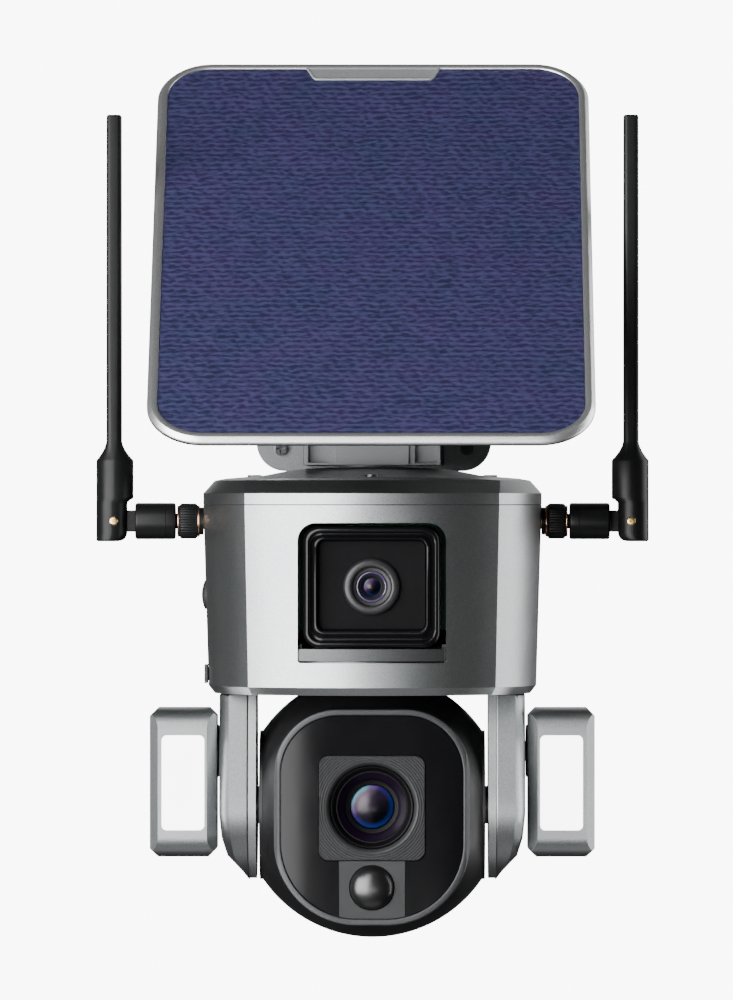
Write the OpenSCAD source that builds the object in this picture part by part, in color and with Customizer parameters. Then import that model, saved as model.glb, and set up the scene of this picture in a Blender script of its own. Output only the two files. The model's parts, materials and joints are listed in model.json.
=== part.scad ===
/* [Wall mount] */
// Width of the wall plate, mm
plate_w = 94; // [92:0.5:98]
// Height of the wall plate, mm
plate_h = 108; // [108:0.2:114]
// Distance from the wall to the drum's axis, mm
reach = 97; // [96:0.5:104]

/* [Solar panel] */
// Width of the solar panel, mm
panel_w = 170.6; // [160:0.2:178]
// Length of the solar panel, mm
panel_l = 224; // [200:0.1:226]
// Lean of the panel back from upright, degrees
panel_lean = 47.5; // [45:0.5:50]

/* [Drum] */
// Radius of the drum at its shoulder, mm
drum_r = 66; // [66:0.1:67]
// Draft of the drum's wall over its height, mm
drum_draft = 2.1; // [1.5:0.1:2.2]

/* [Head] */
// Radius of the ball head, mm
head_r = 51.6; // [51:0.1:51.6]
// Half width of the head between its flats, mm
head_flat = 43.8; // [43.6:0.1:44]

/* [Floodlights] */
// Width of one floodlight, mm
lamp_w = 26; // [25:0.1:26.5]
// Height of one floodlight, mm
lamp_h = 57.8; // [56:0.1:59]

/* [Antennas] */
// Height of the antenna tip over its folding pin, mm
antenna_h = 158.4; // [140:0.2:175]

/* [Hidden] */
$fn = 96;
wall = 3;
plate_t = 3;
flange_t = 2.5;
plate_r = 11.4;
wall_x = 37;
wall_z = 30;
wall_hole_r = 2.25;
corner_x = 37.3;
corner_z = 45;
front_r = 90;
crease_x = 49;
crease_y = sqrt(drum_r * drum_r - crease_x * crease_x);
front_c = sqrt(front_r * front_r - crease_x * crease_x) - crease_y;
z_hub = -52.9;
z_rim = -58;
z_shoulder = -63;
z_seam = -67.3;
z_heel = -137.7;
z_foot = -140.7;
foot_in = 2.3;
gasket_t = 0.3;
z_floor = -121;
floor_t = 3;
disc_r = 52.5;
disc_t = 4;
z_disc = z_floor - floor_t - 0.5;
spindle_r = 8;
run = 0.05;
fit = 0.02;
z_tilt = -184.4;
arm_in = 45;
liner_t = 3;
arm_out = 59.3;
arm_half = 22;
arm_r = 29;
arm_top = z_foot - 0.5;
neck_half = 12;
neck_out = 50;
stub_r = 7.4;
stub_in = 38;
shell_t = 2.5;
side_cap_r = 29;
face_y = 36.5;
face_w = 37.8;
face_top = 38.2;
face_cr = 25;
jaw_r = 32;
jaw_z = -13.3;
ring_w = 2.5;
ring_t = 2;
lamp_in = 60.3;
lamp_z = -175.2;
lamp_front = 22;
lamp_deep = 26;
z_pivot = -163.4;
boss_r = 10.2;
pivot_r = 4;
hinge_dy = 6;
hinge_z = 17.5;
back_z = 14;
front_z = 21;
glass_z = 18.6;
rim_z = 17.6;
frame_r = 21.5;
post_w = 8;
ear_t = 4;
z_sma = -73.8;
port_x = drum_r - drum_draft * 0.9 + 0.1;
pin_x = 100.7;
pan_teeth = 36;
tilt_teeth = 28;
pinion_teeth = 12;
gear_gap = 0.3;
win_x = 28.5;
win_top = -74.4;
win_low = -128.2;
mod_x = 26.3;
mod_top = -75.6;
mod_low = -122.4;
lens_z = -98.9;
zoom_z = 0.3;
pir_z = -30.7;

// Part to show, or all of them

// Rectangle with round corners, centred
module round_rect(w, h, r) {
  square([w - 2 * r, h], center = true);
  square([w, h - 2 * r], center = true);
  for (sx = [-1, 1])
    for (sy = [-1, 1])
      translate([sx * (w / 2 - r), sy * (h / 2 - r)])
        circle(r);
}

// Puts a drawing of x and z into a slab from y0 forward by t
module slab(y0, t) {
  translate([0, y0, 0])
    rotate([90, 0, 0])
      linear_extrude(t)
        children();
}

// Puts a drawing of y and z into a slab from x0 to x0 + t
module side_slab(x0, t) {
  translate([x0, 0, 0])
    rotate([90, 0, 90])
      linear_extrude(t)
        children();
}

// Cylinder along y, from y0 forward by t
module rod_y(x, z, y0, t, r) {
  translate([x, y0, z])
    rotate([90, 0, 0])
      cylinder(h = t, r = r);
}

// Cylinder along x, from x0 to x0 + t
module rod_x(y, z, x0, t, r) {
  translate([x0, y, z])
    rotate([0, 90, 0])
      cylinder(h = t, r = r);
}

module at_drum() {
  translate([0, -reach, 0])
    children();
}

module at_head() {
  translate([0, -reach, z_tilt])
    children();
}

module at_panel() {
  translate([0, -reach - hinge_dy, hinge_z])
    rotate([90 - panel_lean, 0, 0])
      children();
}

// Spur wheel outline of module 1 with a bore
module wheel(n, bore) {
  r = n / 2;
  difference() {
    union() {
      circle(r - 1.05);
      for (i = [0 : n - 1])
        rotate(i * 360 / n)
          polygon([[r - 2, -0.85], [r - 1, -0.82], [r, -0.58], [r + 0.7, -0.3],
                   [r + 0.7, 0.3], [r, 0.58], [r - 1, 0.82], [r - 2, 0.85]]);
    }
    circle(bore);
  }
}

module wall_holes(y0, t, r) {
  for (sx = [-1, 1])
    for (sz = [-1, 1])
      rod_y(sx * wall_x, sz * wall_z, y0, t, r);
}

module corner_holes(y0, t, r) {
  for (sx = [-1, 1])
    for (sz = [-1, 1])
      rod_y(sx * corner_x, sz * corner_z, y0, t, r);
}

module flange_slots(y0, t) {
  for (sx = [-1, 1])
    translate([sx * 27.4 - 0.8, y0 - t, -51.4])
      cube([1.6, t, 36]);
}

module wall_plate() {
  color([0.42, 0.43, 0.44])
    difference() {
      slab(0, plate_t)
        round_rect(plate_w, plate_h, plate_r);
      wall_holes(1, plate_t + 2, wall_hole_r);
      corner_holes(1, plate_t + 2, 1.6);
      slab(1, plate_t + 2)
        round_rect(44, 40, 6);
    }
}

module post() {
  side_slab(-post_w, 2 * post_w)
    difference() {
      union() {
        translate([-reach - hinge_dy, hinge_z])
          circle(9);
        translate([-reach - hinge_dy - 9, -49])
          square([18, 49 + hinge_z]);
      }
      translate([-reach - hinge_dy, hinge_z])
        circle(3 + run);
    }
  side_slab(-3, 6)
    polygon([[-4, -47], [-4, 42], [-reach + 2, 0], [-reach + 2, -47]]);
}

module bracket() {
  arm_f = -reach - 25;
  color([0.45, 0.46, 0.47])
    difference() {
      union() {
        difference() {
          slab(-plate_t, flange_t)
            round_rect(plate_w, plate_h, plate_r);
          wall_holes(0, 10, 4.6);
          corner_holes(0, 10, 1.6);
          flange_slots(0, 10);
        }
        difference() {
          translate([-26.4, arm_f, -52])
            cube([52.8, -arm_f - plate_t - 1, 38]);
          translate([-22.4, arm_f + 5, -46])
            cube([44.8, -arm_f - 16, 60]);
        }
        translate([-14.2, arm_f - 1.2, -52])
          cube([28.4, 3, 38]);
        at_drum()
          translate([0, 0, z_hub])
            cylinder(h = 2, r = 13.3);
        post();
      }
      for (sx = [-1, 1]) {
        translate([sx * 20.7 - 4.1, arm_f - 1, -51.2])
          cube([8.2, 4, 36]);
        translate([sx * 17.4 - 0.45, arm_f - 1, -48.3])
          cube([0.9, 4, 2.3]);
      }
    }
}

module plate_screws() {
  color([0.6, 0.6, 0.62])
    for (sx = [-1, 1])
      for (sz = [-1, 1])
        difference() {
          union() {
            rod_y(sx * corner_x, sz * corner_z, 0, plate_t + flange_t, 1.55);
            rod_y(sx * corner_x, sz * corner_z, -plate_t - flange_t, 1.6, 2.7);
          }
          translate([sx * corner_x, -plate_t - flange_t - 1.1, sz * corner_z]) {
            cube([3.6, 1.2, 0.7], center = true);
            cube([0.7, 1.2, 3.6], center = true);
          }
        }
}

// Solid of the drum's outline between two heights, shrunk inwards by d
module drum_solid(z0, z1, d) {
  k0 = drum_draft * (z_seam - z0) / (z_seam - z_heel);
  k1 = drum_draft * (z_seam - z1) / (z_seam - z_heel);
  intersection() {
    translate([0, 0, z0])
      cylinder(h = z1 - z0, r1 = drum_r - d - k0, r2 = drum_r - d - k1);
    translate([0, front_c, z0])
      cylinder(h = z1 - z0, r1 = front_r - d - k0, r2 = front_r - d - k1);
  }
}

module cap_screw_spots() {
  for (a = [0, 90, 180, 270])
    rotate(a)
      translate([0, -46, 0])
        children();
}

module drum_cap() {
  color([0.5, 0.51, 0.52])
    at_drum()
      difference() {
        intersection() {
          rotate_extrude()
            polygon([[0, z_hub], [14, z_hub], [25, -53.3], [31, -53.9], [36, -54.8],
                     [42, -56], [57, -57.2], [61.5, z_rim], [drum_r, z_shoulder],
                     [drum_r, z_seam], [0, z_seam]]);
          translate([0, front_c, 0])
            rotate_extrude()
              polygon([[0, -50], [front_r - 9, -50], [front_r - 6, z_rim],
                       [front_r, z_shoulder], [front_r, z_seam - 1],
                       [0, z_seam - 1]]);
        }
        intersection() {
          rotate_extrude()
            polygon([[0, -58.4], [40, -59], [57, -61.4], [drum_r - wall, -65],
                     [drum_r - wall, z_seam - 1], [0, z_seam - 1]]);
          translate([0, front_c, 0])
            rotate_extrude()
              polygon([[0, -58], [front_r - 9.5, -58], [front_r - wall, -65],
                       [front_r - wall, z_seam - 1], [0, z_seam - 1]]);
        }
        cap_screw_spots() {
          translate([0, 0, -57.6])
            cylinder(h = 5, r1 = 3.4, r2 = 9);
          translate([0, 0, -70])
            cylinder(h = 14, r = 1.6);
        }
      }
}

module cap_screws() {
  color([0.62, 0.62, 0.64])
    at_drum()
      cap_screw_spots()
        difference() {
          union() {
            translate([0, 0, -72])
              cylinder(h = 15, r = 1.5);
            translate([0, 0, -57.6])
              cylinder(h = 1.8, r = 2.7);
          }
          translate([0, 0, -56.6])
            cylinder(h = 2, r = 1.4, $fn = 6);
        }
}

module cap_gasket() {
  color([0.06, 0.06, 0.06])
    at_drum()
      difference() {
        drum_solid(z_seam - gasket_t, z_seam, 0.15);
        drum_solid(z_seam - gasket_t - 1, z_seam + 1, 3.2);
      }
}

module window2d() {
  translate([0, (win_top + win_low) / 2])
    round_rect(2 * win_x, win_top - win_low, 1.2);
}

module window_cut() {
  difference() {
    slab(-40, 30)
      window2d();
    for (sx = [-1, 1])
      difference() {
        translate([sx * (win_x - 3.5) - 3.6, -71, win_top - 7])
          cube([7.2, 32, 7.1]);
        rod_y(sx * (win_x - 7), win_top - 7, -38, 34, 7);
      }
  }
}

module drum_shell() {
  top = z_seam - gasket_t;
  color([0.5, 0.51, 0.52])
    at_drum()
      difference() {
        union() {
          difference() {
            drum_solid(z_heel, top, 0);
            drum_solid(z_heel - 2, top + 2, wall);
          }
          difference() {
            intersection() {
              translate([0, 0, z_foot])
                cylinder(h = z_heel - z_foot, r1 = drum_r - drum_draft - foot_in,
                         r2 = drum_r - drum_draft);
              translate([0, front_c, z_foot])
                cylinder(h = z_heel - z_foot, r1 = front_r - drum_draft - foot_in,
                         r2 = front_r - drum_draft);
            }
            drum_solid(z_foot - 2, z_heel + 2, wall + 0.3);
          }
          intersection() {
            cap_screw_spots() {
              translate([0, 0, -73.4])
                cylinder(h = top + 73.4, r = 4);
              rotate(35)
                translate([-1.5, -27, -73.4])
                  cube([3, 27, top + 73.4]);
            }
            drum_solid(-74, top, 1);
          }
        }
        window_cut();
        cap_screw_spots()
          translate([0, 0, -78])
            cylinder(h = 20, r = 1.55);
        rod_x(0, -102.5, -70, 12, 5.9);
        translate([-70, -6, -136.5])
          cube([12, 12, 6.4]);
        for (sx = [-1, 1])
          rod_x(0, z_sma, sx * 63 - 6, 12, 3.2);
      }
}

module drum_floor() {
  color([0.2, 0.2, 0.21])
    at_drum()
      difference() {
        drum_solid(z_floor - floor_t, z_floor, wall + 0.15);
        translate([0, 0, z_floor - 10])
          cylinder(h = 20, r = spindle_r + run);
        translate([-mod_x - 0.6, -62, mod_low - 0.3])
          cube([2 * mod_x + 1.2, 33, 5]);
      }
}

module battery_cells() {
  color([0.15, 0.35, 0.6])
    at_drum()
      for (y = [22.4, 41.2])
        for (z = [-83.4, -102.1])
          rod_x(y, z, -32.5, 65, 9.2);
}

module battery_tray() {
  color([0.1, 0.1, 0.1])
    at_drum()
      difference() {
        translate([-34.6, 12.8, -114.7])
          cube([69.2, 36.6, 40]);
        translate([-32.7, 10, -111.5])
          cube([65.4, 42, 60]);
      }
}

module main_board() {
  color([0.05, 0.3, 0.15])
    at_drum()
      union() {
        translate([-30, -22, -116])
          cube([60, 1.6, 44]);
        translate([-22, -20.4, -92])
          cube([18, 2, 16]);
        translate([6, -20.4, -90])
          cube([12, 1.6, 12]);
        translate([-8, -20.4, -112])
          cube([24, 4, 10]);
      }
}

module speaker() {
  color([0.1, 0.1, 0.1])
    at_drum()
      translate([41, 0, z_floor])
        rotate_extrude()
          polygon([[0, 0], [13, 0], [13, 5], [9, 7], [9, 10], [0, 10]]);
}

module pan_motor() {
  d = (pan_teeth + pinion_teeth) / 2 + gear_gap;
  color([0.7, 0.7, 0.7])
    at_drum()
      difference() {
        union() {
          translate([-d, 0, -112])
            cylinder(h = 17, r = 12);
          translate([-d - 17, -3.5, -112])
            cube([34, 7, 1]);
        }
        translate([-d, 0, -113])
          cylinder(h = 7, r = 2.5 + run);
      }
}

module window_sill() {
  color([0.45, 0.46, 0.47])
    at_drum()
      intersection() {
        difference() {
          translate([0, front_c, -127.6])
            cylinder(h = 4.9, r = front_r - drum_draft - 0.3);
          translate([0, front_c, -129])
            cylinder(h = 8, r = front_r - drum_draft - 2.3);
        }
        translate([-win_x + 0.2, -70, -128])
          cube([2 * win_x - 0.4, 30, 6]);
      }
}

module module2d(d) {
  translate([0, (mod_top + mod_low) / 2])
    round_rect(2 * (mod_x - d), mod_top - mod_low - 2 * d, 4.2);
}

module lens_housing() {
  color([0.04, 0.04, 0.045])
    at_drum()
      difference() {
        intersection() {
          slab(-30, 30)
            module2d(0);
          drum_solid(-126, -70, 0.2);
        }
        slab(-53, 10)
          module2d(2.2);
        slab(-32, 30)
          module2d(4.8);
      }
}

module lens_panel() {
  color([0.02, 0.02, 0.025])
    at_drum()
      difference() {
        slab(-48, 3)
          module2d(4.9);
        rod_y(0, lens_z, -40, 20, 7.45);
      }
}

module fixed_lens_barrel() {
  color([0.05, 0.05, 0.05])
    at_drum()
      translate([0, 0, lens_z])
        rotate([90, 0, 0])
          rotate_extrude()
            polygon([[4.5, 34], [7.4, 34], [7.4, 51.1], [10.8, 51.1], [10.8, 51.8],
                     [7.6, 53.5], [5.5, 53.5], [5.5, 51.8], [5, 51.8], [5, 50.6],
                     [4.5, 50.6]]);
}

module fixed_lens() {
  color([0.15, 0.3, 0.4, 0.6])
    at_drum()
      translate([0, 0, lens_z])
        rotate([90, 0, 0])
          intersection() {
            translate([0, 0, 44.4])
              sphere(7);
            translate([0, 0, 46])
              cylinder(h = 8, r = 4.45);
          }
}

module fixed_sensor() {
  color([0.05, 0.3, 0.15])
    at_drum()
      union() {
        translate([-12, -33.9, lens_z - 12])
          cube([24, 1.6, 24]);
        translate([-3.2, -36, lens_z - 3])
          cube([6.4, 2.1, 6]);
      }
}

module sma_jacks() {
  color([0.75, 0.6, 0.3])
    at_drum()
      for (sx = [-1, 1]) {
        rod_x(0, z_sma, sx * 65.7 - 9.2, 18.4, 3.1);
        rod_x(0, z_sma, sx * 59.6 - 2, 4, 5);
      }
}

module antenna_nuts() {
  color([0.12, 0.12, 0.12])
    at_drum()
      for (sx = [-1, 1])
        difference() {
          union() {
            rod_x(0, z_sma, sx * 71.5 - 4.5, 9, 6.5);
            rod_x(0, z_sma, sx * 66.4 - 0.5, 1, 5.4);
            for (i = [0 : 17])
              translate([0, 0, z_sma])
                rotate([i * 20, 0, 0])
                  translate([sx * 71.5 - 3, -0.6, 6])
                    cube([6, 1.2, 0.95]);
            rod_x(0, z_sma, sx * 71.5 - 4.7, 1.2, 6.9);
            rod_x(0, z_sma, sx * 71.5 + 3.5, 1.2, 6.9);
          }
          rod_x(0, z_sma, sx * 71.5 - 6, 12, 3.15);
        }
}

module power_button() {
  color([0.03, 0.03, 0.03])
    at_drum()
      difference() {
        intersection() {
          rod_x(0, -102.5, -67.4, 8.8, 5.6);
          translate([-53.4, 0, -102.5])
            sphere(13.2);
        }
        rod_x(0, -102.5, -62, 6, 4);
      }
}

module port_cover() {
  color([0.03, 0.03, 0.03])
    at_drum()
      union() {
        translate([-port_x - 1.2, -7.5, -136.9])
          cube([1.2, 15, 7.2]);
        translate([-port_x - 0.6, 7.5, -136.9])
          cylinder(h = 7.2, r = 0.6);
        translate([-port_x - 0.2, -5.3, -135.9])
          cube([3, 9.8, 5.2]);
      }
}

module panel2d(d) {
  round_rect(panel_w - 2 * d, panel_l - 2 * d, frame_r - d);
}

module tab2d(d) {
  y1 = panel_l / 2 - 2.2;
  polygon([[-27.6 + d, y1], [-24.2 + d, y1 - 8.35 + d], [24.2 - d, y1 - 8.35 + d],
           [27.6 - d, y1]]);
}

module solar_frame() {
  color([0.6, 0.61, 0.63])
    at_panel()
      difference() {
        union() {
          translate([0, 0, back_z])
            linear_extrude(5)
              panel2d(4.4);
          translate([0, 0, rim_z])
            linear_extrude(1.6)
              panel2d(0);
          translate([0, 0, rim_z + 1])
            linear_extrude(front_z - rim_z - 1)
              panel2d(1.4);
        }
        translate([0, 0, glass_z - 0.1])
          linear_extrude(10)
            panel2d(4);
        translate([0, 0, back_z - 1])
          linear_extrude(3)
            panel2d(6.2);
        translate([0, 0, back_z - 1])
          linear_extrude(10)
            panel2d(9);
      }
}

module solar_laminate() {
  color([0.12, 0.15, 0.32])
    at_panel()
      difference() {
        translate([0, 0, glass_z])
          linear_extrude(1.9)
            panel2d(4.1);
        translate([0, 0, back_z])
          linear_extrude(20)
            tab2d(-0.1);
      }
}

module solar_tab() {
  color([0.5, 0.5, 0.52])
    at_panel()
      intersection() {
        translate([0, 0, glass_z])
          linear_extrude(front_z - glass_z)
            tab2d(0);
        translate([0, 0, glass_z])
          linear_extrude(4)
            panel2d(4.05);
      }
}

module hinge_spots() {
  for (sx = [-1, 1])
    for (sy = [-1, 1])
      translate([sx * 17, sy * 17, 0])
        children();
}

module solar_back() {
  color([0.08, 0.08, 0.09])
    at_panel()
      difference() {
        translate([0, 0, back_z])
          linear_extrude(1.9)
            panel2d(6.3);
        hinge_spots()
          translate([0, 0, back_z - 1])
            cylinder(h = 5, r = 1.55);
      }
}

module solar_hinge() {
  color([0.4, 0.41, 0.42])
    at_panel()
      difference() {
        union() {
          translate([0, 0, back_z - 3])
            linear_extrude(3)
              round_rect(44, 44, 5);
          for (sx = [-1, 1])
            side_slab(sx * (post_w + 0.5 + ear_t / 2) - ear_t / 2, ear_t) {
              circle(9);
              translate([-9, 0])
                square([18, back_z - 2]);
            }
        }
        rod_x(0, 0, -20, 40, 3 + fit);
        hinge_spots()
          translate([0, 0, back_z - 5])
            cylinder(h = 7, r = 1.55);
      }
}

module solar_screws() {
  color([0.6, 0.6, 0.62])
    at_panel()
      hinge_spots()
        difference() {
          union() {
            translate([0, 0, back_z - 3])
              cylinder(h = 4.9, r = 1.5);
            translate([0, 0, back_z - 4.8])
              cylinder(h = 1.8, r = 2.8);
          }
          translate([0, 0, back_z - 5])
            cylinder(h = 1.4, r = 1.4, $fn = 6);
        }
}

module hinge_bolt() {
  tip = post_w + 0.5 + ear_t;
  color([0.62, 0.62, 0.64])
    at_panel() {
      rod_x(0, 0, -tip - 3, 2 * tip + 6, 3);
      rod_x(0, 0, tip, 4, 5.5);
      translate([-tip - 3, 0, 0])
        rotate([0, 90, 0])
          cylinder(h = 3, r = 5.6, $fn = 6);
    }
}

module pan_pinion() {
  d = (pan_teeth + pinion_teeth) / 2 + gear_gap;
  color([0.8, 0.7, 0.4])
    at_drum()
      translate([-d, 0, -119.5])
        union() {
          linear_extrude(4.5)
            rotate(180 / pinion_teeth)
              wheel(pinion_teeth, 0.2);
          cylinder(h = 12, r = 2.5);
        }
}

module arm_screw_spots() {
  for (sx = [-1, 1])
    for (sy = [-1, 1])
      translate([sx * 46.5, sy * 8, 0])
        children();
}

module yoke_disc() {
  color([0.35, 0.36, 0.37])
    at_drum()
      difference() {
        union() {
          translate([0, 0, z_disc - disc_t])
            cylinder(h = disc_t, r = disc_r);
          translate([0, 0, z_disc - 1])
            cylinder(h = 12.5, r = spindle_r);
          translate([0, 0, z_disc - 1])
            cylinder(h = 1.2, r = 14);
        }
        translate([0, 0, -140])
          cylinder(h = 40, r = 4);
        arm_screw_spots() {
          translate([0, 0, z_disc - 10])
            cylinder(h = 12, r = 1.55);
          translate([0, 0, z_disc - 2])
            cylinder(h = 4, r = 2.9);
        }
      }
}

module pan_gear() {
  color([0.85, 0.85, 0.82])
    at_drum()
      translate([0, 0, -119])
        linear_extrude(4)
          wheel(pan_teeth, spindle_r + fit);
}

module arm_side2d(d) {
  union() {
    translate([0, z_tilt])
      circle(arm_r - d);
    polygon([[-arm_half + d, arm_top], [arm_half - d, arm_top],
             [arm_r - d - 0.6, z_tilt + 5], [-arm_r + d + 0.6, z_tilt + 5]]);
  }
}

// The left arm's front outline, x negative
module arm_front2d(x0) {
  polygon([[-x0, arm_top], [-arm_out + 2, arm_top], [-arm_out, arm_top - 1.5],
           [-arm_out, z_tilt - 3], [-arm_out + 0.8, z_tilt - 12],
           [-arm_out + 3, z_tilt - 19.3], [-arm_out + 10.9, z_tilt - 28.4],
           [-arm_out + 12.9, z_tilt - 29.4], [-x0, z_tilt - 29.4]]);
}

module arm_left() {
  difference() {
    union() {
      intersection() {
        side_slab(-arm_out, arm_out - arm_in - liner_t)
          arm_side2d(0);
        slab(40, 80)
          arm_front2d(arm_in + liner_t);
      }
      translate([-neck_out, -neck_half, arm_top - 4])
        cube([neck_out - arm_in - liner_t, 2 * neck_half, z_disc - disc_t - arm_top + 4]);
    }
    intersection() {
      side_slab(-arm_out + 2, arm_out - arm_in)
        arm_side2d(3);
      translate([3, 0, 2])
        slab(40, 80)
          arm_front2d(arm_in + liner_t - 4);
      translate([-70, -50, z_tilt - 40])
        cube([40, 100, arm_top - z_tilt + 36]);
    }
    rod_x(0, z_pivot, -70, 20, pivot_r + run);
  }
}

module yoke_arm_left() {
  color([0.42, 0.43, 0.44])
    at_drum()
      arm_left();
}

module yoke_arm_right() {
  color([0.42, 0.43, 0.44])
    at_drum()
      mirror([1, 0, 0])
        arm_left();
}

module liner_left() {
  difference() {
    union() {
      side_slab(-arm_in - liner_t, liner_t)
        arm_side2d(0.4);
      translate([-arm_in - liner_t, -neck_half, arm_top - 1])
        cube([liner_t, 2 * neck_half, z_disc - disc_t - arm_top + 1]);
      rod_x(0, z_tilt, -arm_in - 1, arm_in + 1 - stub_in, stub_r);
    }
    rod_x(0, z_tilt, -60, 40, 4);
    for (sy = [-1, 1])
      translate([-46.5, sy * 8, z_disc - disc_t - 8])
        cylinder(h = 9, r = 1.2);
  }
}

module arm_liner_left() {
  color([0.3, 0.31, 0.32])
    at_drum()
      liner_left();
}

module arm_liner_right() {
  color([0.3, 0.31, 0.32])
    at_drum()
      mirror([1, 0, 0])
        liner_left();
}

module arm_screws() {
  color([0.62, 0.62, 0.64])
    at_drum()
      arm_screw_spots() {
        translate([0, 0, z_disc - disc_t - 7])
          cylinder(h = disc_t + 5.2, r = 1.1);
        translate([0, 0, z_disc - 2])
          cylinder(h = 1.8, r = 2.7);
      }
}

module tilt_gear() {
  color([0.85, 0.85, 0.82])
    at_head()
      side_slab(-stub_in, 4)
        rotate(45)
          wheel(tilt_teeth, 4);
}

module tilt_pinion() {
  d = (tilt_teeth + pinion_teeth) / 2 + gear_gap;
  k = d * sqrt(0.5);
  color([0.8, 0.7, 0.4])
    at_head()
      union() {
        side_slab(-stub_in - 0.2, 4.4)
          translate([k, k])
            rotate(45 + 180 / pinion_teeth)
              wheel(pinion_teeth, 0.2);
        rod_x(k, k, -stub_in, 12, 2.5);
      }
}

module tilt_motor() {
  d = (tilt_teeth + pinion_teeth) / 2 + gear_gap;
  k = d * sqrt(0.5);
  color([0.7, 0.7, 0.7])
    at_head()
      difference() {
        rod_x(k, k, -32.6, 14, 11.5);
        rod_x(k, k, -34, 9, 2.5 + run);
      }
}

// The face outline drawn in x and z, shrunk by d
module face2d(d) {
  translate([-face_w + d, jaw_z])
    square([2 * (face_w - d), face_top - face_cr - jaw_z]);
  translate([-face_w + face_cr, jaw_z])
    square([2 * (face_w - face_cr), face_top - d - jaw_z]);
  translate([-face_w + jaw_r, jaw_z - jaw_r + d])
    square([2 * (face_w - jaw_r), jaw_r]);
  for (sx = [-1, 1]) {
    translate([sx * (face_w - face_cr), face_top - face_cr])
      circle(face_cr - d);
    translate([sx * (face_w - jaw_r), jaw_z])
      circle(jaw_r - d);
  }
}

module ball(d) {
  intersection() {
    sphere(head_r - d);
    translate([-head_flat + d, -60, -60])
      cube([2 * (head_flat - d), 120, 120]);
  }
  rod_x(0, 0, -head_flat + d, 2 * (head_flat - d), side_cap_r - d);
}

module head_front() {
  color([0.05, 0.05, 0.055])
    at_head()
      difference() {
        union() {
          intersection() {
            ball(0);
            translate([-60, -face_y, -60])
              cube([120, face_y, 120]);
          }
          slab(-16, face_y - 16)
            face2d(0);
        }
        intersection() {
          ball(shell_t);
          translate([-60, -face_y + 2.5, -60])
            cube([120, 60, 120]);
        }
        slab(-10, 40)
          face2d(ring_w);
        rod_x(0, 0, -60, 120, stub_r + run);
      }
}

module head_rear() {
  color([0.05, 0.05, 0.055])
    at_head()
      difference() {
        intersection() {
          ball(0);
          translate([-60, 0.3, -60])
            cube([120, 60, 120]);
        }
        ball(shell_t);
        rod_x(0, 0, -60, 120, stub_r + run);
      }
}

module face_ring() {
  color([0.36, 0.37, 0.38])
    at_head()
      difference() {
        slab(-face_y, ring_t)
          face2d(0);
        slab(-face_y + 2, ring_t + 6)
          face2d(ring_w);
      }
}

module bezel2d(d) {
  round_rect(41 - 2 * d, 40.5 - 2 * d, 3.9 - d);
}

module tab_area(d) {
  translate([-12.8 - d, -50])
    square([25.6 + 2 * d, 29.65 + d]);
}

module face_glass() {
  color([0.02, 0.02, 0.02])
    at_head()
      slab(-face_y + 1, 2)
        difference() {
          face2d(ring_w + 0.05);
          bezel2d(-0.1);
          tab_area(0.1);
        }
}

module lens_bezel() {
  color([0.35, 0.36, 0.37])
    at_head()
      difference() {
        slab(-face_y + 8, 10.3)
          bezel2d(0);
        for (i = [0 : 3])
          rod_y(0, zoom_z, -face_y - 2.5 + 0.8 * i + 2, 20, 17.4 - 0.3 * i);
        rod_y(0, zoom_z, -face_y + 20, 40, 16.2);
      }
}

module zoom_barrel() {
  color([0.04, 0.04, 0.04])
    at_head()
      translate([0, 0, zoom_z])
        rotate([90, 0, 0])
          rotate_extrude()
            polygon([[7, 2], [14, 2], [14, 22], [16.1, 22], [16.1, 34], [13.5, 34],
                     [13.5, 32], [11.5, 32], [11.5, 30.5], [9.5, 30.5], [9.5, 29.5],
                     [8.3, 29.5], [8.3, 26], [7, 26]]);
}

module zoom_lens() {
  color([0.2, 0.2, 0.4, 0.6])
    at_head()
      translate([0, 0, zoom_z])
        rotate([90, 0, 0])
          intersection() {
            translate([0, 0, 15.5])
              sphere(16);
            translate([0, 0, 26.1])
              cylinder(h = 8, r = 8.25);
          }
}

module pir_panel() {
  color([0.35, 0.36, 0.37])
    at_head()
      difference() {
        slab(-face_y + 1, 2.4)
          intersection() {
            face2d(ring_w + 0.05);
            tab_area(0);
          }
        rod_y(0, pir_z, 0, 60, 8.7);
      }
}

module pir_dome() {
  color([0.03, 0.03, 0.03])
    at_head()
      intersection() {
        translate([0, -face_y + 3, pir_z])
          sphere(10.4);
        rod_y(0, pir_z, -face_y + 3, 16, 8.65);
      }
}

module head_board() {
  color([0.05, 0.3, 0.15])
    at_head()
      union() {
        translate([-16, 0.2, zoom_z - 16])
          cube([32, 1.6, 32]);
        translate([-4, -1.8, zoom_z - 3.5])
          cube([8, 2.1, 7]);
      }
}

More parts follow.
